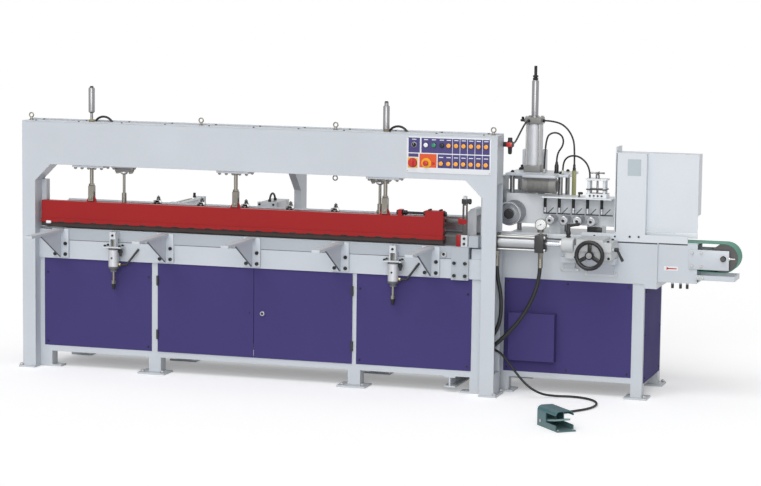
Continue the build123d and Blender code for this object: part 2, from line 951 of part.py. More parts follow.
def cabinet_panels():
    """Fixed sheets of both cabinets and the box-shaped pump cover."""
    pieces = []
    panel_z = (rail_low + rail_height, top_rail_low)
    panel_left_x = -inner_x + panel_edge
    panel_right_x = inner_x - panel_right_edge
    front_edges = ((panel_left_x, post_places[0] - post_reveal_left / 2),
                   (post_places[1] + post_reveal_right / 2, panel_right_x))
    for edges in front_edges:
        pieces.append(block(edges, (base_front - sheet, base_front), panel_z))
    rear_edges = (-inner_x, *post_places, inner_x)
    for left, right in zip(rear_edges, rear_edges[1:]):
        pieces.append(block((left + post_reveal_left / 2, right - post_reveal_left / 2),
                            (base_rear, base_rear + sheet), panel_z))
    for side in (-1, 1):
        pieces.append(block(sorted((side * inner_x, side * (inner_x + sheet))),
                            (frame_rear + upright_foot_lip + slide_gap, base_rear), panel_z))
    infeed_z = (infeed_rail_low + infeed_rail_height, casing_low)
    infeed_edges = (infeed_left + infeed_leg / 2, infeed_right - infeed_leg + slide_gap)
    pieces.append(block(infeed_edges, (infeed_front - sheet, infeed_front), infeed_z))
    pieces.append(block(infeed_edges, (infeed_rear, infeed_rear + sheet), infeed_z))
    pieces.append(block((infeed_right, infeed_right + sheet),
                        (infeed_front + infeed_leg / 2, infeed_rear - infeed_leg / 2),
                        (infeed_rail_low, casing_end_low)))
    pump_front = infeed_front - sheet - pump_proud
    pump = block((pump_left, pump_right), (pump_front, infeed_front - sheet), (pump_low, pump_high))
    pump -= block((pump_left + sheet, pump_right - sheet), (pump_front + sheet, infeed_front - sheet),
                  (pump_low + sheet, pump_high - sheet))
    pieces.append(Pos(infeed_left, 0, 0) * pump)
    save("cabinet_panels", *pieces)


def cabinet_doors():
    """Two doors with hinge barrels on their outer edges; the right one carries the lock."""
    hinge_left = post_places[0] + post_reveal_left / 2
    hinge_right = post_places[1] - post_reveal_right / 2
    split = (hinge_left + hinge_right) / 2
    low = rail_low + rail_height
    height = top_rail_low - low
    door_front = base_front - sheet - slide_gap
    hinge_y = door_front - hinge_barrel / 2
    barrels = (low + hinge_inset, low + height - hinge_inset)

    def door(edges, hinge_x):
        leaf = block(edges, (door_front - sheet, door_front), (low, top_rail_low - slide_gap))
        for z in barrels:
            leaf += rod_z(hinge_x, hinge_y, span(z, hinge_length), hinge_barrel)
        return leaf

    left = door((hinge_left, split - door_gap / 2), hinge_left)
    right = door((split + door_gap / 2, hinge_right), hinge_right)
    lock_y = (door_front - sheet - lock_length, door_front - sheet)
    right += rod_y(split + lock_offset, lock_y, (low + top_rail_low) / 2, lock_diameter)
    save("left_door", left)
    save("right_door", right)


def table_rail():
    """Upper front band of the table, the bolted plate at its right end and the end block."""
    band = block((rail_left, rail_right), (rail_front, deck_front), (top_rail_high, table_height))
    plate_front = rail_front - rail_plate_thickness
    plate_left = rail_right - rail_plate_width
    plate_low = arm_top - rail_plate_height
    plate = block((plate_left, rail_right), (plate_front, rail_front), (plate_low, arm_top))
    bolts = []
    for x in (plate_left + black_bolt, rail_right - black_bolt):
        for z in (plate_low + black_bolt, top_rail_high - black_bolt):
            bolts.append(rod_y(x, (plate_front - black_bolt_head, plate_front), z, black_bolt))
    button = rod_y(plate_left - rail_button_gap, (rail_front - black_bolt_head, rail_front),
                   table_height - rail_button_drop, rail_button)
    end_block = block((inner_x - pillar_width - end_block_length, inner_x - pillar_width),
                      (bed_front - end_block_depth, bed_front), (table_height, table_height + end_block_height))
    save("table_rail", weld([band, plate] + bolts + [button]), end_block)


def support_arms():
    """Five arms in front of the table, each a bolt plate with a gusset and a flat bar, and its bolts."""
    pieces = []
    back = rail_front
    front = back - arm_plate_thickness
    low = arm_top - arm_plate_height
    for x in arm_places:
        plate = block(span(x, arm_plate_width), (front, back), (low, arm_top))
        bar = block(span(x, arm_width), (back - arm_length, front), (arm_top - arm_thickness, arm_top))
        web_top = arm_top - arm_thickness
        web = plate_yz(((front, low), (front, web_top), (front - arm_gusset_reach, web_top)), span(x, arm_gusset))
        bolts = [rod_y(x + side * (arm_plate_width / 2 - black_bolt),
                       (front - black_bolt_head, front), z, black_bolt)
                 for side in (-1, 1) for z in (low + black_bolt, low + black_bolt + arm_bolt_rise)]
        pieces.append(weld([plate, bar, web] + bolts))
    save("support_arms", *pieces)


def bed_plate():
    """Dark steel slab that the boards lie on."""
    save("bed_plate", block((bed_left, rail_right), (bed_front, bed_rear), (table_height, bed_top)))


def rear_fence():
    """Fence along the bed's rear edge with its row of adjusting studs."""
    top = bed_top + fence_height
    fence = block((fence_left, fence_right), (fence_front, bed_rear), (bed_top, top))
    for x in (long_side_x, box_side_x):
        fence -= rod_y(x, (fence_front, bed_rear), side_axis, side_rod + 2 * slide_gap)
    pieces = [fence]
    middle_y = (fence_front + bed_rear) / 2
    lug_top = top + fence_lug_height
    for step in range(fence_bolt_count):
        x = fence_bolt_first + step * fence_bolt_pitch
        pieces.append(block(span(x, fence_lug), span(middle_y, fence_lug), (top, lug_top)))
        pieces.append(rod_z(x, middle_y, (lug_top, lug_top + fence_stud_height), fence_stud))
        pieces.append(hexagon_z(x, middle_y, (lug_top, lug_top + fence_nut_height), fence_nut))
    save("rear_fence", weld(pieces))


def side_cylinder(x, bore, cap_size, length):
    """Cylinder along Y behind the fence on a foot that stands on the deck."""
    rear = side_front + length
    square = span(x, cap_size)
    high = span(side_axis, cap_size)
    pieces = [block(square, (side_front, side_front + side_cap_length), high),
              block(square, (rear - side_cap_length, rear), high),
              rod_y(x, (side_front, rear), side_axis, bore),
              block(square, (side_front, side_front + side_cap_length), (table_height, side_axis))]
    body = weld(pieces)
    return body - rod_y(x, (side_front, rear - side_cap_length), side_axis, side_rod + 2 * running_fit)


def air_cylinders():
    """Side cylinders behind the fence and stop cylinders under the table edge."""
    pieces = [side_cylinder(long_side_x, long_side_bore, long_side_cap, long_side_length),
              side_cylinder(box_side_x, box_side_bore, box_side_cap, box_side_length)]
    axis_y = rail_front - stop_offset
    lug_high = table_height - arm_drop
    lug_low = lug_high - stop_lug_height
    yoke_low = lug_low - stop_yoke_height
    body_high = yoke_low - stop_flange
    body_low = body_high - stop_body_height
    neck_low = body_low - stop_neck_height
    for x in stop_places:
        lug = block(span(x, stop_lug_width), (axis_y - stop_lug_width / 2, rail_front), (lug_low, lug_high))
        yokes = [block(span(x + side * (stop_lug_width - stop_yoke_plate) / 2, stop_yoke_plate),
                       span(axis_y, stop_lug_width), (yoke_low, lug_low)) for side in (-1, 1)]
        flange_plate = block(span(x, stop_flange_width), span(axis_y, stop_flange_depth), (body_high, yoke_low))
        body = weld([lug] + yokes + [flange_plate, rod_z(x, axis_y, (body_low, body_high), stop_body),
                                     rod_z(x, axis_y, (neck_low, body_low), stop_neck)])
        pieces.append(body - rod_z(x, axis_y, (neck_low, lug_high), stop_pin + 2 * running_fit))
    save("air_cylinders", *pieces)
    pins = []
    for x in stop_places:
        nut_high = neck_low - stop_nut_drop
        pins.append(rod_z(x, axis_y, (neck_low - stop_pin_tail, lug_high), stop_pin)
                    + hexagon_z(x, axis_y, (nut_high - stop_nut_height, nut_high), stop_nut))
    save("stop_pins", *pins)


def side_pusher():
    """Pusher bar in front of the fence on the two rods of the side cylinders."""
    bar_front = fence_front - pusher_thickness
    low = bed_top + pusher_low
    bar = block((fence_left, fence_right), (bar_front, fence_front), (low, low + pusher_height))
    rod_rear = side_front + pusher_stroke + side_cap_length
    rods = [rod_y(x, (fence_front, rod_rear), side_axis, side_rod) for x in (long_side_x, box_side_x)]
    save("side_pusher", weld([bar] + rods))


def end_guide():
    """Slotted link that guides the press beam's end, and the cover of the saw."""
    middle = (link_left + link_right) / 2
    foot = block(span(middle, link_width + link_thickness), (lift_y - link_thickness, bed_front),
                 (table_height, table_height + link_foot_height))
    slot_low = link_pin_z - press_gap - link_slot
    slot_high = link_pin_z + press_stroke + link_slot / 2
    link_top = slot_high + link_cap
    link = block((link_left, link_right), span(lift_y, link_thickness),
                 (table_height + link_foot_height, link_top))
    link -= block(span(middle, link_slot), span(lift_y, link_thickness), (slot_low, slot_high))
    knob = rod_z(middle, lift_y, (link_top, link_top + link_knob_height), link_knob)
    cover_top = bed_top + saw_cover_height
    saw_cover_left = rail_right - saw_cover_length
    outline = ((saw_cover_left, bed_top), (rail_right, bed_top), (rail_right, cover_top),
               (saw_cover_left + saw_cover_chamfer, cover_top), (saw_cover_left, cover_top - saw_cover_chamfer))
    cover = plate_xz(outline, (saw_cover_front, saw_cover_rear))
    cover -= block((saw_cover_left, rail_right), (saw_cover_front + saw_cover_wall, saw_cover_rear - saw_cover_wall),
                   (bed_top, bed_top + saw_tunnel_height))
    save("end_guide", weld([foot, link, knob]), cover)


def control_panel():
    """Panel plate with bezels, lamps and the base plates of the switches."""
    plate = block((panel_left, panel_right), (panel_face, frame_front), (panel_low, panel_high))
    bezels = []
    holes = []
    buttons = [(x, lower_row) for x in button_places] + [(start_x, upper_row), (black_x, upper_row)]
    for x, z in buttons:
        bezels.append(rod_y(x, (bezel_face, panel_face), z, bezel))
        holes.append(rod_y(x, (bezel_face, frame_front), z, cap + 2 * running_fit))
    for x, z in ((selector_x, upper_row), (stop_x, lower_row)):
        ring = stop_ring if z == lower_row else bezel
        bezels.append(rod_y(x, (bezel_face, panel_face), z, ring))
        holes.append(rod_y(x, (bezel_face, frame_front), z, cap + 2 * running_fit))
    bezels.append(block(span(switch_x, switch_plate), (bezel_face, panel_face), span(lower_row, switch_plate)))
    holes.append(rod_y(switch_x, (bezel_face, frame_front), lower_row, cap + 2 * running_fit))
    for x, z in [(x, upper_row) for x in lamp_places] + [(white_lamp_x, upper_row), (spare_lamp_x, lower_row)]:
        size = bezel if z == upper_row else cap
        bezels.append(rod_y(x, (bezel_face - cap_depth, panel_face), z, size))
    panel = weld([plate] + bezels)
    for hole in holes:
        panel -= hole
    save("control_panel", panel)


def push_button(name, x, z):
    """Button cap that slides into its bezel."""
    save(name, rod_y(x, (bezel_face - cap_height, bezel_face + cap_depth), z, cap))


def panel_controls():
    """Push buttons, emergency stop, selector and main switch."""
    for number, x in enumerate(button_places, start=1):
        push_button(f"button_{number}", x, lower_row)
    push_button("start_button", start_x, upper_row)
    push_button("black_button", black_x, upper_row)
    gap = stop_travel + slide_gap
    head_back = bezel_face - gap
    save("emergency_stop", rod_y(stop_x, (head_back - stop_head_height, head_back), lower_row, stop_head)
         + rod_y(stop_x, (head_back, bezel_face + cap_depth), lower_row, cap))
    grip = block(span(selector_x, knob_width), (bezel_face - knob_length, bezel_face - cap_depth),
                 span(upper_row, bezel - cap_depth))
    save("selector", grip + rod_y(selector_x, (bezel_face - knob_width, bezel_face + cap_depth), upper_row, cap))
    disc_front = bezel_face - slide_gap - cap_height
    handle = block(span(switch_x, switch_handle), (disc_front - switch_handle_height, disc_front),
                   span(lower_row, switch_disc))
    save("main_switch", weld([rod_y(switch_x, (disc_front, bezel_face - slide_gap), lower_row, switch_disc), handle,
                              rod_y(switch_x, (disc_front, bezel_face + cap_depth), lower_row, cap)]))


def infeed_frame():
    """Four legs with feet, rails and the ties to the press base."""
    pieces = []
    low = (infeed_rail_low, infeed_rail_low + infeed_rail_height)
    high = (casing_low - infeed_rail_height, casing_low)
    leg_x = (infeed_left + infeed_leg / 2, infeed_right - infeed_leg / 2)
    leg_y = (infeed_front + infeed_leg / 2, infeed_rear - infeed_leg / 2)
    for x in leg_x:
        for y in leg_y:
            under_belt = x == leg_x[1] and y == leg_y[0]
            top = casing_low if under_belt else casing_high - casing_wall
            pieces.append(block(span(x, infeed_leg), span(y, infeed_leg), (0, top)))
            pieces.append(block(span(x, infeed_foot), span(y, infeed_foot), (0, foot_thickness)))
        for z in (low, high):
            pieces.append(block(span(x, infeed_leg), (infeed_front, infeed_rear), z))
    for y in leg_y:
        for z in (low, high):
            pieces.append(block((infeed_left, infeed_right), span(y, infeed_leg), z))
        tie = (inner_x + sheet, infeed_left)
        pieces.append(block(tie, span(min(y, base_rear - infeed_tie), infeed_tie),
                            (infeed_tie_low, infeed_tie_low + infeed_tie)))
    rear_tie_y = base_rear - infeed_tie
    pieces.append(block(span(leg_x[0], infeed_leg), (rear_tie_y - infeed_tie / 2, infeed_rear),
                        (infeed_tie_low, infeed_tie_low + infeed_tie)))
    save("infeed_frame", weld(pieces))


def infeed_casing():
    """Sheet casing with the infeed table, the belt opening and the carriage console on its front."""
    front = infeed_front - casing_wall
    length = infeed_length + casing_overhang
    under = -casing_height
    depth = (infeed_front, infeed_rear)
    outside = block((0, length), (front, infeed_rear + casing_wall), (under, 0))
    end = block((infeed_length, length), (front, infeed_rear + casing_wall), (-casing_end_height, under))
    casing = outside + end
    casing -= block((casing_wall, length - casing_wall), depth, (under, -casing_wall))
    casing -= block((infeed_length, length - casing_wall), depth, (-casing_end_height, under))
    casing -= block((0, infeed_leg), depth, (under, -casing_wall))
    opening = conveyor_inner + conveyor_wall + slide_gap
    belt_left = infeed_length + head_x - belt_radius - slide_gap
    casing -= block((belt_left, length), (-opening, opening), (conveyor_low - slide_gap, 0))
    table = block((infeed_table_left, infeed_table_right), (infeed_table_front, infeed_table_rear),
                  (0, infeed_table_thickness))
    rail_low_z = saddle_low - console_rail
    rail = block((console_left, console_right), (console_front, front), (rail_low_z, saddle_low))
    knee_front = console_front + console_foot_lip
    knee = plate_yz(((front, console_low), (front, rail_low_z), (knee_front, rail_low_z)),
                    (console_knee_left, console_knee_right))
    knee_foot = block((console_knee_left - console_foot_lip, console_knee_right + console_foot_lip),
                      (front - console_foot, front), (console_low - console_foot, console_low + console_foot_lip))
    leg = block((console_leg_left, console_leg_right), (front - console_foot_lip, front),
                (console_leg_low, rail_low_z))
    leg_foot = block((console_leg_left - console_foot_lip, console_leg_right + console_foot_lip),
                     (front - console_foot, front), (console_leg_low - console_foot_lip, console_leg_low))
    save("infeed_casing", weld([casing, table, rail, knee, knee_foot, leg, leg_foot]), place=infeed_place)


def conveyor():
    """Conveyor side plates with slider bed and tail brackets, the belt and its two pulleys."""
    left = head_x - pulley_radius
    pieces = []
    for side in (-1, 1):
        wall = sorted((side * conveyor_inner, side * (conveyor_inner + conveyor_wall)))
        plate = block((left, conveyor_right), wall, (conveyor_low, conveyor_high))
        plate -= rod_y(head_x, wall, belt_axis, axle + 2 * running_fit)
        pieces.append(plate)
        outer = side * (conveyor_inner + conveyor_wall)
        bracket = sorted((outer, outer + side * tail_plate_thickness))
        tail = block((conveyor_right - 2 * tail_plate_thickness, tail_plate_right), bracket,
                     (tail_plate_low, tail_plate_high))
        pieces.append(tail - rod_y(tail_x, bracket, belt_axis, axle + 2 * running_fit))
        pieces.append(block((conveyor_right - 2 * tail_plate_thickness, tail_strap_right), bracket,
                            (tail_strap_low, tail_strap_high)))
    full = (-conveyor_inner, conveyor_inner)
    slider_high = belt_top - belt_thickness - belt_gap
    pieces.append(block((head_x + pulley_radius, conveyor_right), full,
                        (slider_high - slider_thickness, slider_high)))
    cross_low = conveyor_low + conveyor_wall
    pieces.append(block((casing_overhang, conveyor_right), full, (conveyor_low, cross_low)))
    strap_end = (tail_strap_right - conveyor_wall, tail_strap_right)
    outer = conveyor_inner + conveyor_wall + tail_plate_thickness
    pieces.append(block(strap_end, (-outer, outer), (tail_strap_low, tail_strap_high)))
    for x in knob_places:
        pieces.append(rod_z(x, -conveyor_inner + under_knob, (conveyor_low - under_knob_length, conveyor_low),
                            under_knob))
    save("conveyor_beam", weld(pieces), place=belt_place)

    def loop(radius):
        return (rod_y(tail_x, span(0, belt_width), belt_axis, 2 * radius)
                + rod_y(head_x, span(0, belt_width), belt_axis, 2 * radius)
                + block((head_x, tail_x), span(0, belt_width), (belt_axis - radius, belt_axis + radius)))

    save("conveyor_belt", loop(belt_radius) - loop(pulley_radius), place=belt_place)
    axle_reach = {"head_pulley": conveyor_inner + conveyor_wall,
                  "tail_pulley": outer + axle}
    for name, x in (("head_pulley", head_x), ("tail_pulley", tail_x)):
        drum = rod_y(x, span(0, pulley_width), belt_axis, 2 * (pulley_radius - belt_gap))
        save(name, drum + rod_y(x, span(0, 2 * axle_reach[name]), belt_axis, axle), place=belt_place)


def feed_head():
    """Feed head: back plate, foot, shelf, swing arms, plungers and the vice of the height screw."""
    head_rear = head_front + head_plate
    plate = block((head_left, head_right), (head_front, head_rear), (head_low, head_high))
    plate -= rod_y(main_roller_x, (head_front, head_rear), main_roller_z, main_shaft + 2 * running_fit)
    feet = [block(foot, (head_front, head_front + head_foot_depth), (0, head_high)) for foot in head_feet]
    shelf = block((shelf_left, head_right), (shelf_front, head_front), (head_high - shelf_thickness, head_high))
    pieces = [plate, shelf] + feet
    swing_y = (arm_plate_front, arm_plate_front + swing_plate)
    for x in small_places:
        pivot_x = x - swing_x
        pivot_z = small_z + swing_z
        arm_points = ((x - swing_width / 2, small_z - swing_width / 2), (x + swing_width / 2, small_z),
                      (pivot_x + swing_width / 2, pivot_z + swing_width / 2), (pivot_x - swing_width / 2, pivot_z))
        arm = plate_xz(arm_points, swing_y)
        pivot = rod_y(pivot_x, (arm_plate_front, head_front), pivot_z, swing_width)
        pieces.append(arm + pivot - rod_y(x, swing_y, small_z, small_shaft + 2 * running_fit))
    under = head_high - shelf_thickness
    for step in range(plunger_count):
        x = plunger_first + step * plunger_pitch
        pieces.append(rod_z(x, plunger_y, (under - plunger_body_height, under), plunger_body))
        pieces.append(rod_z(x, plunger_y, (under - plunger_length, under), plunger_rod))
    vice_top = head_high + vice_height
    pieces.append(block((vice_left, vice_right), (vice_front, vice_rear), (head_high, head_high + vice_base)))
    top_plate = block((vice_left, vice_right), (vice_front, vice_rear), (vice_top - vice_plate, vice_top))
    middle = ((vice_left + vice_right) / 2, (vice_front + vice_rear) / 2)
    top_plate -= rod_z(*middle, (vice_top - vice_plate, vice_top), vice_screw + 2 * running_fit)
    pieces.append(top_plate)
    for x in (vice_left + vice_post, vice_right - vice_post):
        for y in (vice_front + vice_post, vice_rear - vice_post):
            pieces.append(rod_z(x, y, (head_high, vice_top), vice_post))
    save("feed_head", weld(pieces), place=infeed_place)
    hub_top = head_high + star_height
    hub_low = vice_top + slide_gap
    screw = rod_z(*middle, (head_high + vice_base + slide_gap, hub_top), vice_screw)
    hub = rod_z(*middle, (hub_low, hub_low + star_hub), star_hub)
    star_z = span(hub_top - star_bar / 2, star_bar)
    bars = [block(span(middle[0], 2 * star_reach), span(middle[1], star_bar), star_z),
            block(span(middle[0], star_bar), span(middle[1], 2 * star_reach), star_z)]
    save("height_handwheel", weld([screw, hub] + bars), place=infeed_place)


def feed_rollers():
    """Main feed roller and the four small rollers."""
    rear = main_roller_front + main_roller_length
    roller = rod_y(main_roller_x, (main_roller_front, rear), main_roller_z, main_roller)
    hub = rod_y(main_roller_x, (main_roller_front - main_hub_length, main_roller_front), main_roller_z, main_hub)
    shaft = rod_y(main_roller_x, (rear, head_front + head_plate), main_roller_z, main_shaft)
    save("main_feed_roller", weld([roller, hub, shaft]), place=infeed_place)
    for number, x in enumerate(small_places, start=1):
        roller = rod_y(x, (small_front, small_front + small_length), small_z, small_roller)
        shaft = rod_y(x, (small_front + small_length, arm_plate_front + swing_plate), small_z, small_shaft)
        save(f"feed_roller_{number}", roller + shaft, place=infeed_place)


def saw_stand():
    """Platform on columns with the saw's lift cylinder, guide rods, feed motor and drive box."""
    plate = block((stand_left, stand_right), (stand_front, stand_rear), (stand_low, stand_high))
    lip_front = feed_motor_y - feed_motor / 2
    lip = block((feed_motor_left, feed_motor_right), (lip_front, stand_front), (stand_low, stand_high))
    column_y = (head_front + head_plate / 2, stand_rear - stand_column)
    column_x = (stand_left + stand_column, stand_right - 2 * stand_column)
    pieces = [plate, lip]
    for x in column_x:
        pieces.append(rod_z(x, column_y[0], (head_high, stand_low), stand_column))
        pieces.append(rod_z(x, column_y[1], (0, stand_low), stand_column))
    for side in (-1, 1):
        pieces.append(rod_z(saw_guide_x, saw_motor_y + side * saw_guide_spread, (0, stand_low), saw_guide))
    place = (saw_cylinder_x, saw_cylinder_y)
    barrel_low = stand_high + saw_cap_height
    barrel_high = barrel_low + saw_barrel_height
    cap_high = barrel_high + saw_cap_height
    for z in ((stand_high, barrel_low), (barrel_high, cap_high)):
        pieces.append(block(span(place[0], saw_cap), span(place[1], saw_cap), z))
    pieces.append(rod_z(*place, (barrel_low, barrel_high), saw_cylinder_bore))
    sleeve_high = cap_high + saw_sleeve_height
    pieces.append(rod_z(*place, (cap_high, sleeve_high), saw_sleeve))
    pieces.append(rod_z(*place, (sleeve_high, sleeve_high + saw_tip_height), saw_tip))
    motor_z = stand_low - feed_motor / 2
    pieces.append(rod_x((feed_motor_left, feed_motor_right), feed_motor_y, motor_z, feed_motor))
    pieces.append(block((feed_motor_left, feed_motor_right), span(feed_motor_y, feed_motor / 2), (motor_z, stand_low)))
    pieces.append(block((drive_box_left, drive_box_right), (stand_rear - drive_box_depth, stand_rear),
                        (stand_high, stand_high + drive_box_height)))
    scale_top = head_high + scale_height
    pieces.append(block((scale_left, scale_left + scale_width), span(scale_y, stand_plate), (head_high, scale_top)))
    pieces.append(rod_z(scale_left + scale_width / 2, scale_y, (scale_top, scale_top + scale_fitting_height),
                        scale_fitting))
    pieces.append(block((stand_right, scale_left), span(scale_y, stand_plate), (stand_low, stand_high)))
    pieces.append(rod_z(plug_x, plug_y, (stand_high, stand_high + plug_height), plug))
    for x, y in ((return_x, return_y), (line_x, line_y)):
        pieces.append(rod_z(x, y, (stand_high, stand_high + line_fitting_height), line_fitting))
    stand = weld(pieces)
    stand -= rod_z(*place, (stand_low, barrel_high), saw_rod + 2 * running_fit)
    save("saw_stand", stand, place=infeed_place)


def saw():
    """Saw carriage with arm, spindle plate, motor and rod, and the blade on its spindle."""
    arm = block((saw_arm_left, saw_arm_right), (saw_arm_front, saw_arm_rear), (saw_arm_low, saw_arm_high))
    plate_x = (saw_arm_left, saw_arm_left + spindle_plate)
    plate = block(plate_x, (spindle_front, saw_arm_rear), (spindle_low, saw_arm_high))
    motor = rod_x((plate_x[1], plate_x[1] + saw_motor_length), saw_motor_y, spindle_z, saw_motor)
    rod_top = saw_arm_high + saw_stroke + saw_barrel_height / 2
    rod = rod_z(saw_cylinder_x, saw_cylinder_y, (saw_arm_high, rod_top), saw_rod)
    carriage = weld([arm, plate, motor, rod])
    for side in (-1, 1):
        guide_y_place = saw_motor_y + side * saw_guide_spread
        carriage -= rod_z(saw_guide_x, guide_y_place, (saw_arm_low, saw_arm_high), saw_guide + 2 * running_fit)
    carriage -= rod_x(plate_x, spindle_y, spindle_z, spindle + 2 * running_fit)
    save("saw_carriage", carriage, place=infeed_place)
    disc = rod_x(span(blade_x, blade_thickness), spindle_y, spindle_z, blade)
    boss_right = plate_x[0] - slide_gap
    flanges = rod_x(span(blade_x, 2 * blade_flange_thickness + blade_thickness), spindle_y, spindle_z, blade_flange)
    neck = rod_x((blade_x, boss_right), spindle_y, spindle_z, spindle_boss)
    shaft = rod_x((blade_x, plate_x[1]), spindle_y, spindle_z, spindle)
    save("saw_blade", weld([disc, flanges, neck, shaft]), place=infeed_place)


def guard_box():
    """Sheet guard over the belt on its long rail, open at the rear, with a tunnel for the boards."""
    recess_front = guard_front + guard_recess
    rear = guard_front + guard_depth
    wide = (guard_left, guard_right)
    pieces = [block(wide, (recess_front, recess_front + sheet), (guard_panel_low, guard_top)),
              block(wide, (recess_front, rear), (guard_top - sheet, guard_top)),
              block((guard_right - sheet, guard_right), (recess_front, rear), (guard_tunnel, guard_top))]
    strip = block((guard_left, guard_strip_right), (guard_front, recess_front + sheet), (guard_low, guard_top))
    strip -= block((guard_left + sheet, guard_strip_right - sheet), (guard_front + sheet, recess_front),
                   (guard_low, guard_top - sheet))
    pieces.append(strip)
    side = (guard_left - guard_plate, guard_left)
    pieces.append(block(side, (guard_front, rear), (guard_tunnel, guard_plate_top)))
    pieces.append(block(side, (guard_front, recess_front), (guard_low + guard_plate_gap, guard_tunnel)))
    pieces.append(block((guard_rail_left, guard_rail_right), (guard_front, guard_front + guard_rail), (0, guard_low)))
    save("guard_box", weld(pieces), place=belt_place)


def ram_cylinder():
    """Hydraulic ram on the right upright's web, with its ports and pressure gauge."""
    barrel_left = ram_left + ram_cap_left
    barrel_right = barrel_left + ram_barrel_length
    square_y = span(ram_y, ram_cap_size)
    square_z = span(ram_z, ram_cap_size)
    gauge_x = barrel_right + ram_cap_right / 2
    gauge_z = square_z[1] + gauge_rise
    pieces = [rod_x((web_face - infeed_left, ram_left), ram_y, ram_z, ram_trunnion),
              block((ram_left, barrel_left), square_y, square_z),
              rod_x((barrel_left, barrel_right), ram_y, ram_z, ram_barrel),
              block((barrel_right, ram_right), square_y, square_z),
              rod_z(gauge_x, ram_y, (square_z[1], gauge_z), gauge_stem),
              rod_y(gauge_x, span(ram_y, gauge_depth), gauge_z, gauge_diameter)]
    for x in (ram_left + ram_cap_left / 2, gauge_x):
        pieces.append(rod_z(x, ram_y, (square_z[0] - port_length, square_z[0]), port))
    body = weld(pieces)
    body -= rod_x((barrel_left, ram_right), ram_y, ram_z, ram_rod + 2 * running_fit)
    save("ram_cylinder", body, place=infeed_place)


def carriage():
    """Carriage with the ram's rod, its clamp casting and the saddle."""
    rod_left = clamp_left - ram_stroke - (clamp_left - ram_right) - ram_cap_right
    pieces = [rod_x((rod_left, clamp_left), ram_y, ram_z, ram_rod),
              rod_x((clamp_left, clamp_right), ram_y, ram_z, clamp_diameter),
              block((clamp_left + lever_hub, saddle_left + lever_hub), span(ram_y, lever_hub), (saddle_low, ram_z)),
              block((saddle_left, saddle_right), (saddle_front, saddle_rear), (saddle_low, saddle_high))]
    body = weld(pieces)
    body -= rod_y(wheel_x, (saddle_front, saddle_front + wheel_shaft_depth), wheel_z, wheel_shaft + 2 * running_fit)
    clamp_top = ram_z + clamp_diameter / 2
    body += rod_z(lever_left_x, ram_y, (ram_z, clamp_top + lever_stud_length), lever_hub)
    save("carriage", body, place=infeed_place)


def cross_slide():
    """Cross slide on the saddle, with the jaw plate that reaches over the infeed table."""
    body = block((slide_left, slide_right), (slide_front, slide_rear), (saddle_high, slide_high))
    jaw = block((slide_left, jaw_right), (slide_front, jaw_rear), (slide_high, slide_high + jaw_thickness))
    boss = rod_x((slide_right, slide_right + lever_stud_length), lever_right_y, lever_right_z, lever_hub)
    save("cross_slide", weld([body, jaw, boss]), place=infeed_place)


def handwheel():
    """Three-spoke handwheel with its screw in the saddle."""
    hub_rear = slide_front - wheel_gap
    hub_front = hub_rear - wheel_hub_length
    middle_y = (hub_front + hub_rear) / 2
    rim = Pos(wheel_x, middle_y, wheel_z) * Rot(90, 0, 0) * Torus(wheel_radius - wheel_rim / 2, wheel_rim / 2)
    pieces = [rim, rod_y(wheel_x, (hub_front, hub_rear), wheel_z, wheel_hub),
              rod_y(wheel_x, (hub_rear, saddle_front + wheel_shaft_depth), wheel_z, wheel_shaft)]
    spoke_length = wheel_radius - wheel_rim / 2
    for step in range(wheel_spokes):
        angle = 90 + step * 360 / wheel_spokes
        spoke = Pos(0, 0, spoke_length / 2) * Cylinder(wheel_spoke / 2, spoke_length)
        pieces.append(Pos(wheel_x, middle_y, wheel_z) * Rot(0, angle, 0) * spoke)
    save("handwheel", weld(pieces), place=infeed_place)


def clamp_levers():
    """Clamp lever on the casting, turning about Z, and clamp lever on the cross slide's side, turning about X."""
    base = ram_z + clamp_diameter / 2 + lever_stud_length + slide_gap
    hub = rod_z(lever_left_x, ram_y, (base, base + lever_hub_length), lever_hub)
    start = Vector(lever_left_x, ram_y, base + lever_hub_length / 2)
    bar = lever_handle(start, Vector(lever_left_run, 0, lever_left_rise))
    save("clamp_lever_left", hub + bar, place=infeed_place)
    face = slide_right + lever_stud_length + slide_gap
    hub = rod_x((face, face + lever_hub_length), lever_right_y, lever_right_z, lever_hub)
    start = Vector(face + lever_hub_length / 2, lever_right_y, lever_right_z)
    bar = lever_handle(start, Vector(lever_right_run, 0, -lever_right_drop))
    save("clamp_lever_right", hub + bar, place=infeed_place)


def lever_handle(start, reach):
    """Round handle from a lever's hub along the vector reach."""
    plane = Plane(origin=start, z_dir=reach)
    return extrude(plane * Circle(lever_bar / 2), reach.length)


def air_regulator():
    """Air regulator on a bracket at the gantry beam's right end."""
    body_low = regulator_low + regulator_bowl_height
    body_high = body_low + regulator_body_height
    place = (regulator_x, regulator_y)
    pieces = [rod_z(*place, (regulator_low, body_low), regulator_bowl),
              block(span(regulator_x, regulator_body), span(regulator_y, regulator_body), (body_low, body_high)),
              rod_z(*place, (body_high, body_high + regulator_knob_height), regulator_knob),
              block((half_length, regulator_x), span(regulator_y, regulator_bracket), (body_low, body_high))]
    save("air_regulator", weld(pieces))


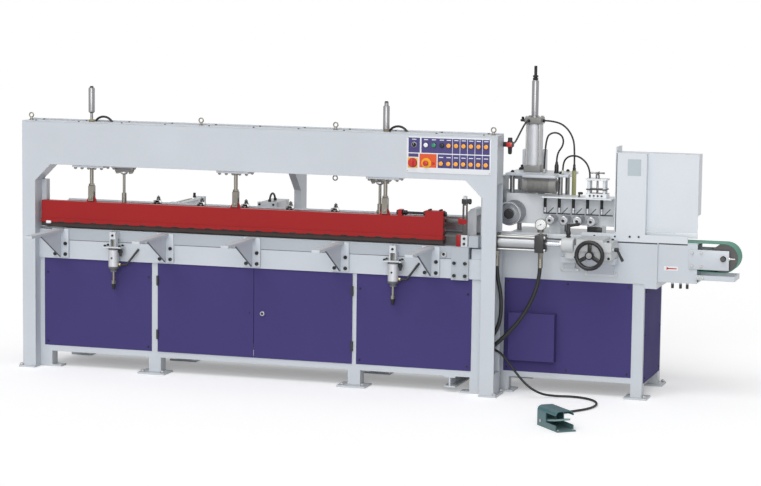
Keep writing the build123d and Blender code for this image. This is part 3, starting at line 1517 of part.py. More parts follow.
def pedal():
    """Foot pedal: body with base, rear wall, cut-back side walls and hood, and the treadle on its pin."""
    place = Pos(infeed_left + pedal_x, pedal_y, 0) * Rot(0, 0, pedal_turn)
    rear = -pedal_length / 2
    half_width = pedal_width / 2
    hood_front = rear + pedal_hood_length

    def vault(x, half, top, radius):
        shape = block(x, (-half, half), (0, top))
        return fillet(shape.edges().filter_by(Axis.X).group_by(Axis.Z)[-1], radius)

    hood = vault((rear, hood_front), half_width, pedal_height, pedal_round)
    hood -= vault((rear + pedal_wall, hood_front), half_width - pedal_wall, pedal_height - pedal_wall,
                  pedal_round - pedal_wall)
    hood -= block((hood_front - pedal_mouth_depth, hood_front), (-half_width, half_width),
                  (pedal_mouth_low, pedal_mouth_high))
    pivot_x = rear + treadle_inset
    hood -= rod_y(pivot_x, (-half_width, half_width), treadle_pivot_z, treadle_pin + 2 * running_fit)
    pieces = [hood, block((rear, rear + pedal_length), (-half_width, half_width), (0, pedal_base)),
              rod_x((rear - gland_length, rear), 0, gland_z, gland)]
    save("pedal_body", weld(pieces), place=place)
    tilt = Pos(pivot_x, 0, treadle_pivot_z) * Rot(0, -treadle_tilt, 0)
    board = tilt * block((0, treadle_length), span(0, treadle_width), (-treadle_thickness / 2, treadle_thickness / 2))
    tube = rod_y(pivot_x, span(0, treadle_width), treadle_pivot_z, 2 * treadle_pin)
    pin = rod_y(pivot_x, (-half_width, half_width), treadle_pivot_z, treadle_pin)
    save("pedal_treadle", weld([board, tube, pin]), place=place)


def hydraulic_hoses():
    """Two hoses from the ram's ports down to the glands on the upright's web."""
    port_low = bed_top + ram_z - ram_cap_size / 2 - port_length
    left_x = ram_left + ram_cap_left / 2
    right_x = ram_right - ram_cap_right / 2
    gland_x = web_face + hose_gland_length - infeed_left
    left_route = ((left_x, ram_y, port_low), (left_x, ram_y, port_low - hose_drop_left), (58, ram_y, 620),
                  (62, ram_y, 490), (34, ram_y, 385), (gland_x, ram_y, hose_left_z))
    right_route = ((right_x, ram_y, port_low), (right_x, ram_y, port_low - hose_drop_right), (255, ram_y, 600),
                   (180, ram_y, 465), (80, ram_y, 355), (gland_x, ram_y, hose_right_z))
    save("hydraulic_hoses", cord_tube("left hose", left_route, hose), cord_tube("right hose", right_route, hose),
         place=Pos(infeed_left, 0, 0))


def pedal_cable():
    """Cable from the gland in the upright along the floor to the pedal's rear."""
    turn = math.radians(pedal_turn)
    reach = pedal_length / 2 + gland_length
    end = (pedal_x - reach * math.cos(turn), pedal_y - reach * math.sin(turn), gland_z)
    before = (end[0] - cable_last_run * math.cos(turn), end[1] - cable_last_run * math.sin(turn), gland_z)
    start_x = web_face + hose_gland_length - infeed_left
    floor_z = cable / 2 + cable_floor_gap
    route = ((start_x, cable_exit_y, cable_exit_z), (start_x + cable_first_run, cable_exit_y, cable_exit_z),
             (105, -258, 205), (180, -285, 125), (245, -300, 68), (315, -270, 25), (390, -215, floor_z),
             (485, -190, floor_z), (590, -225, floor_z), (660, -310, floor_z), (688, -430, floor_z),
             (665, -555, floor_z), (595, -665, floor_z), (525, -770, floor_z), (472, -875, 22), before, end)
    save("pedal_cable", cord_tube("pedal cable", route, cable), place=Pos(infeed_left, 0, 0))


def saw_hoses():
    """Air hoses of the saw stand: over the cylinder, in a loop, from the regulator and to the vice."""
    cap_z = stand_high + 1.5 * saw_cap_height + saw_barrel_height
    cap_right = saw_cylinder_x + saw_cap / 2
    cap_front = saw_cylinder_y - saw_cap / 2
    scale_x = scale_left + scale_width / 2
    scale_top = head_high + scale_height + scale_fitting_height
    fitting_top = stand_high + line_fitting_height
    plug_top = stand_high + plug_height
    vice_top = head_high + vice_height
    vice_hose_x = vice_left + vice_hose_inset
    supply_x = regulator_x - infeed_left
    supply_z = regulator_low + regulator_bowl_height + regulator_body_height / 2 - bed_top
    regulator_rear = regulator_y + regulator_body / 2
    over = ((cap_right, saw_cylinder_y, cap_z), (255, saw_cylinder_y, cap_z), (330, 190, 655),
            (385, 160, 585), (scale_x, scale_y, 505), (scale_x, scale_y, scale_top))
    loop = ((plug_x, plug_y, plug_top), (plug_x, plug_y, 490), (322, 156, 540), (322, 156, 588), (293, 150, 617),
            (251, 142, 617), (222, 132, 588), (return_x, return_y, 440), (return_x, return_y, fitting_top))
    supply = ((supply_x, regulator_rear, supply_z), (supply_x, -130, supply_z), (75, -50, 570),
              (80, 20, 610), (105, 80, cap_z), (105, cap_front, cap_z))
    line = ((line_x, line_y, fitting_top), (line_x, line_y, 445), (375, 70, 485), (435, 58, 490),
            (490, 46, 455), (vice_hose_x, 38, 400), (vice_hose_x, 38, vice_top))
    routes = {"over": over, "loop": loop, "supply": supply, "line": line}
    save("saw_hoses", *[cord_tube(name, route, air_hose) for name, route in routes.items()], place=infeed_place)


if __name__ == "__main__":
    gantry_frame()
    gantry_cover()
    press_cylinders()
    press_beam()
    press_pad()
    press_rods()
    base_frame()
    cabinet_panels()
    cabinet_doors()
    table_rail()
    support_arms()
    bed_plate()
    rear_fence()
    air_cylinders()
    side_pusher()
    end_guide()
    control_panel()
    panel_controls()
    infeed_frame()
    infeed_casing()
    conveyor()
    feed_head()
    feed_rollers()
    saw_stand()
    saw()
    guard_box()
    ram_cylinder()
    carriage()
    cross_slide()
    handwheel()
    clamp_levers()
    air_regulator()
    pedal()
    hydraulic_hoses()
    pedal_cable()
    saw_hoses()
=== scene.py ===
"""Looks of the finger joint press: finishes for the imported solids, finer pieces, cords and the studio."""

import logging
import math
from dataclasses import dataclass
from enum import Enum
from functools import cache
from itertools import product
from typing import Iterable, Sequence

import bpy
from mathutils import Matrix, Vector


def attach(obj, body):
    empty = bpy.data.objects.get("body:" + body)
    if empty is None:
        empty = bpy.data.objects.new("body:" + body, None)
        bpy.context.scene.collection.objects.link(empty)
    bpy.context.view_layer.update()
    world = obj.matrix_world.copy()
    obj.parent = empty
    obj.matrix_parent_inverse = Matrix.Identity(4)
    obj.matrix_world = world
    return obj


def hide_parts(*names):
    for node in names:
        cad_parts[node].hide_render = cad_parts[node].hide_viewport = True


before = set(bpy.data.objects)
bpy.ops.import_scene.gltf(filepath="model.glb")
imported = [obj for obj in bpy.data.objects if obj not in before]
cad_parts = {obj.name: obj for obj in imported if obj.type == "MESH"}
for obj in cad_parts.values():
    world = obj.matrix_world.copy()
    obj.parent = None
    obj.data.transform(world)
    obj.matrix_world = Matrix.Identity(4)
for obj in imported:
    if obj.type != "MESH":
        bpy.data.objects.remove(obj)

MM = 0.001
MACHINE = "machine"
FINISH_PREFIX = "finish_"
Span = tuple[float, float]
Point = tuple[float, float, float]
Row = tuple[float, ...]
Rgb = tuple[int, int, int]
Colour = tuple[float, float, float, float]
Values = float | Sequence[float]
Piece = bpy.types.Object
Material = bpy.types.Material
Tree = bpy.types.NodeTree
Socket = bpy.types.NodeSocket
Input = Socket | Values
Sockets = bpy.types.bpy_prop_collection
ORIGIN: Point = (0.0, 0.0, 0.0)
NOISE_RANGE: Span = (0.3, 0.7)
FULL: Span = (0.0, 1.0)
WHITE: Colour = (1.0, 1.0, 1.0, 1.0)
log = logging.getLogger("press")


class Along(Enum):
    """Directions that a round piece can lie in, as the turn from upright."""

    X = (0.0, math.pi / 2, 0.0)
    Y = (-math.pi / 2, 0.0, 0.0)
    Z = (0.0, 0.0, 0.0)


X, Y, Z = Along


def linear(colour: Rgb) -> Colour:
    """Scene-linear colour of an 8-bit screen colour."""
    parts = [value / 255 for value in colour]
    return (*(p / 12.92 if p <= 0.04045 else ((p + 0.055) / 1.055) ** 2.4 for p in parts), 1.0)


def metres(place: Iterable[float]) -> list[float]:
    """A place in metres."""
    return [part * MM for part in place]


def middle(span: Span) -> float:
    """Middle of a span."""
    return (span[0] + span[1]) / 2


def about(centre: float, width: float) -> Span:
    """Span of a width about its centre."""
    return (centre - width / 2, centre + width / 2)


def grid(*axes: Values) -> list[Point]:
    """Places with every choice of the values given along X, Y and Z; a lone number is one value."""
    return list(product(*(axis if isinstance(axis, Sequence) else (axis,) for axis in axes)))


class Graph:
    """A node tree with short ways to add and join nodes."""

    def __init__(self, tree: Tree) -> None:
        """Take the tree to work in."""
        self.tree = tree

    def add(self, kind: str, settings: dict | None = None, **values: Input) -> bpy.types.Node:
        """Add a node.

        Args:
            kind: Node type, without its leading "ShaderNode" where it has one.
            settings: Attributes of the node.
            values: Input values or sockets to join, by input name with underscores for spaces.

        Returns:
            The node.
        """
        full = kind if kind.startswith("Node") else "ShaderNode" + kind
        node = self.tree.nodes.new(full)
        for name, value in (settings or {}).items():
            setattr(node, name, value)
        self.fill(node.inputs, **values)
        return node

    def fill(self, inputs: Sockets, **values: Input) -> None:
        """Join or set several inputs, named with underscores for spaces."""
        for name, value in values.items():
            self.put(inputs[name.replace("_", " ")], value)

    def put(self, socket: Socket, value: Input) -> None:
        """Join or set one input.

        Args:
            socket: The input.
            value: A socket to join it to, or its own value.
        """
        if isinstance(value, Socket):
            self.tree.links.new(value, socket)
        else:
            socket.default_value = value

    def calculate(self, kind: str, operation: str, *values: Input) -> Sockets:
        """Make a calculation.

        Args:
            kind: Math for numbers, VectorMath for vectors.
            operation: What is calculated.
            values: The numbers or sockets that go in, in order.

        Returns:
            The sockets with the result.
        """
        node = self.add(kind, {"operation": operation})
        for socket, value in zip(node.inputs, values):
            self.put(socket, value)
        return node.outputs

    def maths(self, operation: str, first: Input, second: Input = 0.0) -> Socket:
        """Result of a calculation with two numbers."""
        return self.calculate("Math", operation, first, second)[0]

    def spread(self, value: Input, source: Span, low: Input, high: Input) -> Socket:
        """Value moved from a source range to the range between low and high."""
        return self.add(
            "MapRange", Value=value, From_Min=source[0], From_Max=source[1], To_Min=low,
            To_Max=high).outputs[0]

    def blend(self, share: Input, first: Input, second: Input) -> Socket:
        """Mix two colours.

        Args:
            share: Share of the second colour.
            first: First colour.
            second: Second colour.

        Returns:
            The socket with the colour between them.
        """
        node = self.add("Mix", {"data_type": "RGBA"})
        colours = [socket for socket in node.inputs if socket.type == "RGBA"]
        for socket, value in zip((node.inputs[0], *colours), (share, first, second)):
            self.put(socket, value)
        return next(socket for socket in node.outputs if socket.type == "RGBA")

    def effect(self, group: Tree, **values: Input) -> Sockets:
        """Results of a shared effect with its inputs."""
        return self.add("Group", {"node_tree": group}, **values).outputs

    def place(self) -> Socket:
        """Place on the piece, in the machine's frame."""
        return self.add("TexCoord").outputs["Object"]

    def noise(
            self, scale: Input, detail: float, roughness: float = 0.5,
            place: Socket | None = None) -> Socket:
        """Cloudy value between nought and one, at the place on the piece or another one."""
        where = self.place() if place is None else place
        return self.add(
            "TexNoise", Vector=where, Scale=scale, Detail=detail, Roughness=roughness).outputs[0]


class Effects:
    """Shared surface effects; each is built once and used by many finishes."""

    @staticmethod
    def start(name: str, outputs: dict[str, str], **inputs: str) -> tuple[Graph, Sockets, Sockets]:
        """Open a new effect.

        Args:
            name: The effect's name.
            outputs: Kinds of its results, by name.
            inputs: Kinds of its inputs, by name.

        Returns:
            Its graph, the sockets that bring its inputs and the sockets that take its results.
        """
        tree = bpy.data.node_groups.new(name, "ShaderNodeTree")
        for direction, sockets in (("INPUT", inputs), ("OUTPUT", outputs)):
            for label, kind in sockets.items():
                tree.interface.new_socket(name=label, in_out=direction, socket_type="NodeSocket" + kind)
        graph = Graph(tree)
        return graph, graph.add("NodeGroupInput").outputs, graph.add("NodeGroupOutput").inputs

    @staticmethod
    @cache
    def grain() -> Tree:
        """Cloudy change of a colour, with the cloud as a value.

        Returns:
            The effect.
        """
        fine_scale = 23.0
        fine_share = 0.25
        graph, given, result = Effects.start(
            "Grain", {"Colour": "Color", "Tone": "Float"}, Colour="Color", Amount="Float", Scale="Float")
        cloud = graph.noise(given["Scale"], 5.0, 0.55)
        fine = graph.noise(graph.maths("MULTIPLY", given["Scale"], fine_scale), 2.0)
        both = graph.maths(
            "ADD", graph.maths("MULTIPLY", cloud, 1.0 - fine_share),
            graph.maths("MULTIPLY", fine, fine_share))
        darkest, lightest = (graph.maths(way, 1.0, given["Amount"]) for way in ("SUBTRACT", "ADD"))
        value = graph.spread(both, NOISE_RANGE, darkest, lightest)
        shade = graph.add("HueSaturation", Color=given["Colour"], Value=value)
        graph.fill(result, Colour=shade.outputs[0], Tone=both)
        return graph.tree

    @staticmethod
    @cache
    def edges() -> Tree:
        """Softly rounded edges as a normal, and a broken mask along them.

        Returns:
            The effect.
        """
        edge_likeness = (0.995, 0.86)
        patch_range = (0.42, 0.62)
        graph, given, result = Effects.start("Edges", {"Normal": "Vector", "Mask": "Float"}, Radius="Float")
        soft = graph.add("Bevel", {"samples": 4}, Radius=given["Radius"]).outputs[0]
        flat = graph.add("NewGeometry").outputs["Normal"]
        likeness = graph.calculate("VectorMath", "DOT_PRODUCT", soft, flat)["Value"]
        turn = graph.spread(likeness, edge_likeness, *FULL)
        patches = graph.spread(graph.noise(60.0, 6.0), patch_range, *FULL)
        graph.fill(result, Normal=soft, Mask=graph.maths("MULTIPLY", turn, patches))
        return graph.tree

    @staticmethod
    @cache
    def dust() -> Tree:
        """Mask of dust on faces that look up, and of dirt near the floor.

        Returns:
            The effect.
        """
        up_range = (0.5, 1.0)
        dirt_height = (0.14, 0.0)
        dirt_share = 0.7
        graph, _, result = Effects.start("Dust", {"Mask": "Float"})
        geometry = graph.add("NewGeometry").outputs
        up, height = (
            graph.add("SeparateXYZ", Vector=geometry[name]).outputs["Z"] for name in ("Normal", "Position"))
        cloud = graph.noise(14.0, 6.0)
        level = graph.maths("MULTIPLY", graph.spread(up, up_range, *FULL), cloud)
        low = graph.maths("MULTIPLY", graph.spread(height, dirt_height, 0.0, dirt_share), cloud)
        graph.fill(result, Mask=graph.maths("MAXIMUM", level, low))
        return graph.tree

    @staticmethod
    @cache
    def lines() -> Tree:
        """Fine tool marks drawn out along one direction.

        Returns:
            The effect.
        """
        depth = 0.0004
        graph, given, result = Effects.start(
            "Lines", {"Normal": "Vector", "Tone": "Float"}, Stretch="Vector", Strength="Float",
            Normal="Vector")
        drawn = graph.add("Mapping", Vector=graph.place(), Scale=given["Stretch"]).outputs[0]
        marks = graph.noise(1.0, 4.0, place=drawn)
        bump = graph.add(
            "Bump", Height=marks, Strength=given["Strength"], Distance=depth, Normal=given["Normal"])
        graph.fill(result, Normal=bump.outputs[0], Tone=marks)
        return graph.tree

    @staticmethod
    @cache
    def pebble() -> Tree:
        """Small rounded bumps, from orange peel to hammered paint.

        Returns:
            The effect.
        """
        depth = 0.0006
        graph, given, result = Effects.start(
            "Pebble", {"Normal": "Vector"}, Scale="Float", Strength="Float", Normal="Vector")
        cells = graph.add(
            "TexVoronoi", {"feature": "SMOOTH_F1"}, Vector=graph.place(), Scale=given["Scale"])
        bump = graph.add(
            "Bump", Height=cells.outputs[0], Strength=given["Strength"], Distance=depth,
            Normal=given["Normal"])
        graph.fill(result, Normal=bump.outputs[0])
        return graph.tree

    @staticmethod
    @cache
    def knurl() -> Tree:
        """Crossed ridges round an axis along Y through a given place.

        Returns:
            The effect.
        """
        ridges_along = 900.0
        strength = 0.6
        depth = 0.0012
        graph, given, result = Effects.start(
            "Knurl", {"Normal": "Vector", "Tone": "Float"}, Centre="Vector", Ridges="Float",
            Normal="Vector")
        local = graph.calculate("VectorMath", "SUBTRACT", graph.place(), given["Centre"])[0]
        parts = graph.add("SeparateXYZ", Vector=local).outputs
        turn = graph.maths("MULTIPLY", graph.maths("ARCTAN2", parts["Z"], parts["X"]), given["Ridges"])
        rise = graph.maths("MULTIPLY", parts["Y"], ridges_along)
        waves = [graph.maths("SINE", graph.maths(way, turn, rise)) for way in ("ADD", "SUBTRACT")]
        peaks = graph.maths("MULTIPLY", *waves)
        bump = graph.add("Bump", Height=peaks, Strength=strength, Distance=depth, Normal=given["Normal"])
        graph.fill(result, Normal=bump.outputs[0], Tone=graph.spread(peaks, (-1.0, 1.0), *FULL))
        return graph.tree


@dataclass(frozen=True)
class Surface:
    """What all finishes share: a colour with faint clouds, soft edges and an uneven roughness."""

    name: str
    colour: Rgb
    roughness: float = 0.36
    rough_change: float = 0.06
    mottle: float = 0.08
    cloud_scale: float = 14.0
    radius: float = 0.0012

    def open(self) -> tuple[Material, Graph, Sockets, Sockets, Sockets]:
        """Open the material.

        Returns:
            The material, its graph, the inputs of its Principled shader, and the results of the clouds and
            of the edges.
        """
        material = bpy.data.materials.new(FINISH_PREFIX + self.name)
        material.use_nodes = True
        graph = Graph(material.node_tree)
        shader = material.node_tree.nodes["Principled BSDF"].inputs
        grain = graph.effect(
            Effects.grain(), Colour=linear(self.colour), Amount=self.mottle, Scale=self.cloud_scale)
        return material, graph, shader, grain, graph.effect(Effects.edges(), Radius=self.radius)

    def rough(self, graph: Graph, tone: Socket) -> Socket:
        """Roughness that follows a tone."""
        return graph.spread(tone, NOISE_RANGE, *about(self.roughness, 2 * self.rough_change))


@dataclass(frozen=True)
class Painted(Surface):
    """Sprayed paint with soft edges, faint clouds, dust and a little wear."""

    roughness: float = 0.38
    rough_change: float = 0.07
    mottle: float = 0.035
    cloud_scale: float = 2.6
    radius: float = 0.0022
    wear: float = 0.35
    worn_colour: Rgb = (150, 150, 152)
    dust: float = 0.35
    dust_colour: Rgb = (176, 172, 164)
    dust_roughness: float = 0.4
    peel_scale: float = 700.0
    peel: float = 0.06
    coat: float = 0.15
    specular: float = 0.5

    def make(self) -> Material:
        """Build the material.

        Returns:
            The material.
        """
        material, graph, shader, grain, edges = self.open()
        peel = graph.effect(
            Effects.pebble(), Scale=self.peel_scale, Strength=self.peel, Normal=edges["Normal"])
        wear = graph.maths("MULTIPLY", edges["Mask"], self.wear)
        worn = graph.blend(wear, grain["Colour"], linear(self.worn_colour))
        dust = graph.maths("MULTIPLY", graph.effect(Effects.dust())["Mask"], self.dust)
        dull = graph.maths("MULTIPLY", dust, self.dust_roughness)
        graph.fill(
            shader, Base_Color=graph.blend(dust, worn, linear(self.dust_colour)), Normal=peel["Normal"],
            Roughness=graph.maths("ADD", self.rough(graph, grain["Tone"]), dull), Coat_Weight=self.coat,
            Specular_IOR_Level=self.specular)
        return material


@dataclass(frozen=True)
class Metal(Surface):
    """Bare metal with drawn-out tool marks and soft edges."""

    roughness: float = 0.3
    rough_change: float = 0.1
    mottle: float = 0.06
    cloud_scale: float = 9.0
    stretch: Point = (900.0, 900.0, 40.0)
    marks: float = 0.15
    metallic: float = 1.0
    edge_colour: Colour = (0.8, 0.8, 0.8, 1.0)
    edge_share: float = 0.3

    def make(self) -> Material:
        """Build the material.

        Returns:
            The material.
        """
        material, graph, shader, grain, edges = self.open()
        lines = graph.effect(
            Effects.lines(), Stretch=self.stretch, Strength=self.marks, Normal=edges["Normal"])
        share = graph.maths("MULTIPLY", edges["Mask"], self.edge_share)
        tone = graph.maths("MULTIPLY", graph.maths("ADD", lines["Tone"], grain["Tone"]), 0.5)
        graph.fill(
            shader, Base_Color=graph.blend(share, grain["Colour"], self.edge_colour),
            Roughness=self.rough(graph, tone), Normal=lines["Normal"], Metallic=self.metallic)
        return material


@dataclass(frozen=True)
class Moulded(Surface):
    """Plastic or rubber with a fine moulded texture."""

    roughness: float = 0.45
    cloud_scale: float = 12.0
    scale: float = 1400.0
    texture: float = 0.12
    coat: float = 0.0
    glow: float = 0.0
    edge_colour: Colour = (0.5, 0.5, 0.5, 1.0)
    edge_share: float = 0.12

    def make(self) -> Material:
        """Build the material.

        Returns:
            The material.
        """
        material, graph, shader, grain, edges = self.open()
        texture = graph.effect(
            Effects.pebble(), Scale=self.scale, Strength=self.texture, Normal=edges["Normal"])
        share = graph.maths("MULTIPLY", edges["Mask"], self.edge_share)
        graph.fill(
            shader, Base_Color=graph.blend(share, grain["Colour"], self.edge_colour),
            Roughness=self.rough(graph, grain["Tone"]), Normal=texture["Normal"], Coat_Weight=self.coat)
        if self.glow:
            graph.fill(shader, Emission_Color=grain["Colour"], Emission_Strength=self.glow)
        return material


@dataclass(frozen=True)
class Knurled(Surface):
    """Bright steel with crossed ridges round an axis along Y."""

    radius: float = 0.001
    centre: Point = ORIGIN
    ridges: float = 46.0
    groove_shade: Span = (0.55, 1.0)

    def make(self) -> Material:
        """Build the material.

        Returns:
            The material.
        """
        material, graph, shader, grain, edges = self.open()
        knurl = graph.effect(
            Effects.knurl(), Centre=metres(self.centre), Ridges=self.ridges, Normal=edges["Normal"])
        shade = graph.spread(knurl["Tone"], FULL, *self.groove_shade)
        dark = graph.add("HueSaturation", Color=grain["Colour"], Value=shade)
        graph.fill(
            shader, Base_Color=dark.outputs[0], Roughness=self.rough(graph, grain["Tone"]),
            Normal=knurl["Normal"], Metallic=1.0)
        return material


class Finish(Enum):
    """The finishes on the machine."""

    GREY = Painted("grey_paint", (203, 209, 216))
    PALE = Painted("pale_paint", (216, 221, 226), roughness=0.42)
    GUARD = Painted("guard_paint", (218, 224, 230), roughness=0.42, wear=0.2)
    # Painted shadow: the frame grey made darker on the table rail, for the press beam's shadow over it.
    RAIL = Painted("rail_paint", (180, 187, 194))
    # Painted light: the frame grey made lighter on the support arms, so their tops and sides look lit.
    ARM = Painted("arm_paint", (212, 218, 225), roughness=0.6, coat=0.0, specular=0.1)
    # Painted light: pale grey made lighter still on the feed head, against the shade under its shelf.
    HEAD = Painted("head_paint", (236, 240, 244), roughness=0.45)
    CAST = Painted("cast_paint", (188, 193, 198), roughness=0.5, peel_scale=260.0, peel=0.16, wear=0.5)
    IVORY = Painted("ivory_paint", (204, 207, 209), roughness=0.45, peel_scale=300.0, peel=0.1, wear=0.3)
    PURPLE = Painted(
        "purple_paint", (75, 68, 121), roughness=0.6, wear=0.2, worn_colour=(126, 122, 156), dust=0.12,
        dust_colour=(120, 118, 142), coat=0.0, specular=0.03)
    RED = Painted(
        "red_paint", (160, 30, 32), roughness=0.4, wear=0.25, worn_colour=(120, 60, 56), dust=0.16,
        coat=0.0, specular=0.25)
    TEAL = Painted(
        "hammered_teal", (52, 102, 108), roughness=0.42, mottle=0.12, peel_scale=260.0, peel=0.4, dust=0.4,
        wear=0.6)
    TREADLE = Painted(
        "treadle_paint", (128, 166, 168), roughness=0.45, wear=0.6, peel_scale=240.0, peel=0.3)
    WHITE = Painted("white_plate", (232, 235, 239), roughness=0.35, wear=0.1, dust=0.1, radius=0.0008)
    SIGN = Painted("sign_plate", (184, 196, 202), roughness=0.3, wear=0.1, dust=0.05, radius=0.0005)
    FIELD = Painted("panel_field", (62, 54, 118), roughness=0.4, wear=0.05, dust=0.05, radius=0.0003)
    ORANGE = Painted("orange_field", (222, 84, 28), roughness=0.4, wear=0.05, dust=0.05, radius=0.0003)
    YELLOW = Moulded("yellow_plastic", (238, 178, 32), roughness=0.35)
    OLIVE = Painted("olive_strip", (142, 144, 96), roughness=0.45, wear=0.2)
    STEEL = Metal("bright_steel", (196, 198, 202))
    STEEL_X = Metal("ground_steel", (188, 190, 194), stretch=(30.0, 900.0, 900.0))
    STEEL_Y = Metal("turned_steel", (190, 192, 196), roughness=0.26, stretch=(900.0, 60.0, 900.0))
    ZINC = Metal("zinc_steel", (186, 186, 184), roughness=0.36, mottle=0.12)
    CHROME = Metal("chromed_rod", (214, 216, 220), roughness=0.14, marks=0.04)
    ALUMINIUM = Metal("aluminium", (164, 166, 169), roughness=0.42, stretch=(24.0, 700.0, 700.0), marks=0.1)
    TUBE_STEEL = Metal("tube_steel", (146, 146, 148), roughness=0.3, mottle=0.08)
    ROD_STEEL = Metal("rod_steel", (138, 134, 126), roughness=0.34, mottle=0.12)
    DARK_STEEL = Metal(
        "dark_steel", (88, 86, 86), roughness=0.42, stretch=(14.0, 700.0, 700.0), mottle=0.16)
    SATIN = Metal("satin_aluminium", (206, 208, 212), roughness=0.5, metallic=0.4, marks=0.08)
    # Painted shade: a dark grey for strips that stand for shade on the gussets' sloping edges, under the
    # rail's upper band and at the guard's left edge.
    SHADE = Painted("edge_paint", (112, 116, 123), roughness=0.6, wear=0.1, coat=0.0, specular=0.1)
    MOTOR = Painted("motor_paint", (134, 134, 132), roughness=0.5, peel_scale=320.0, peel=0.14, wear=0.3)
    IRON = Painted("dark_iron", (92, 94, 98), roughness=0.5, peel_scale=320.0, peel=0.14, wear=0.3)
    BLACK_IRON = Painted(
        "black_iron", (40, 40, 42), roughness=0.5, peel_scale=320.0, peel=0.14, wear=0.3,
        worn_colour=(110, 110, 112), dust=0.2)
    BRASS = Metal("brass", (150, 138, 108), roughness=0.3)
    BOLT = Metal("black_bolt", (26, 26, 28), roughness=0.46, mottle=0.2, metallic=0.3)
    BLACK = Moulded("black_plastic", (20, 20, 22))
    GLOSS = Moulded("black_gloss", (15, 15, 17), roughness=0.26, texture=0.03)
    RED_CAP = Moulded("red_plastic", (200, 34, 28), roughness=0.28, texture=0.04, coat=0.3)
    AMBER = Moulded("amber_cap", (240, 162, 62), roughness=0.24, texture=0.03, coat=0.4, glow=0.12)
    # Faint glow: a real lamp on the white lamp, painted light on the lip stop and the selector line, which
    # are no lamps.
    LAMP_WHITE = Moulded("white_cap", (236, 240, 246), roughness=0.24, texture=0.03, coat=0.4, glow=0.06)
    GREEN = Moulded("green_cap", (22, 136, 96), roughness=0.24, texture=0.03, coat=0.4, glow=0.05)
    RUBBER = Moulded("hose_rubber", (20, 20, 22), roughness=0.52, scale=900.0, texture=0.25)
    PAD = Moulded("press_pad", (54, 44, 41), roughness=0.7, mottle=0.22, scale=420.0, texture=0.4)
    BELT = Moulded("belt_green", (64, 138, 116), roughness=0.55, mottle=0.1, scale=620.0, texture=0.3)
    DIAL = Moulded("dial_face", (240, 242, 242), roughness=0.3, mottle=0.02, texture=0.01)
    KNURL = Knurled("knurled_roller", (178, 180, 184), centre=(1545.0, 0.0, 1078.0))

    @property
    def material(self) -> Material:
        """The finish's material, built at its first use."""
        found = bpy.data.materials.get(FINISH_PREFIX + self.value.name)
        return found or self.value.make()


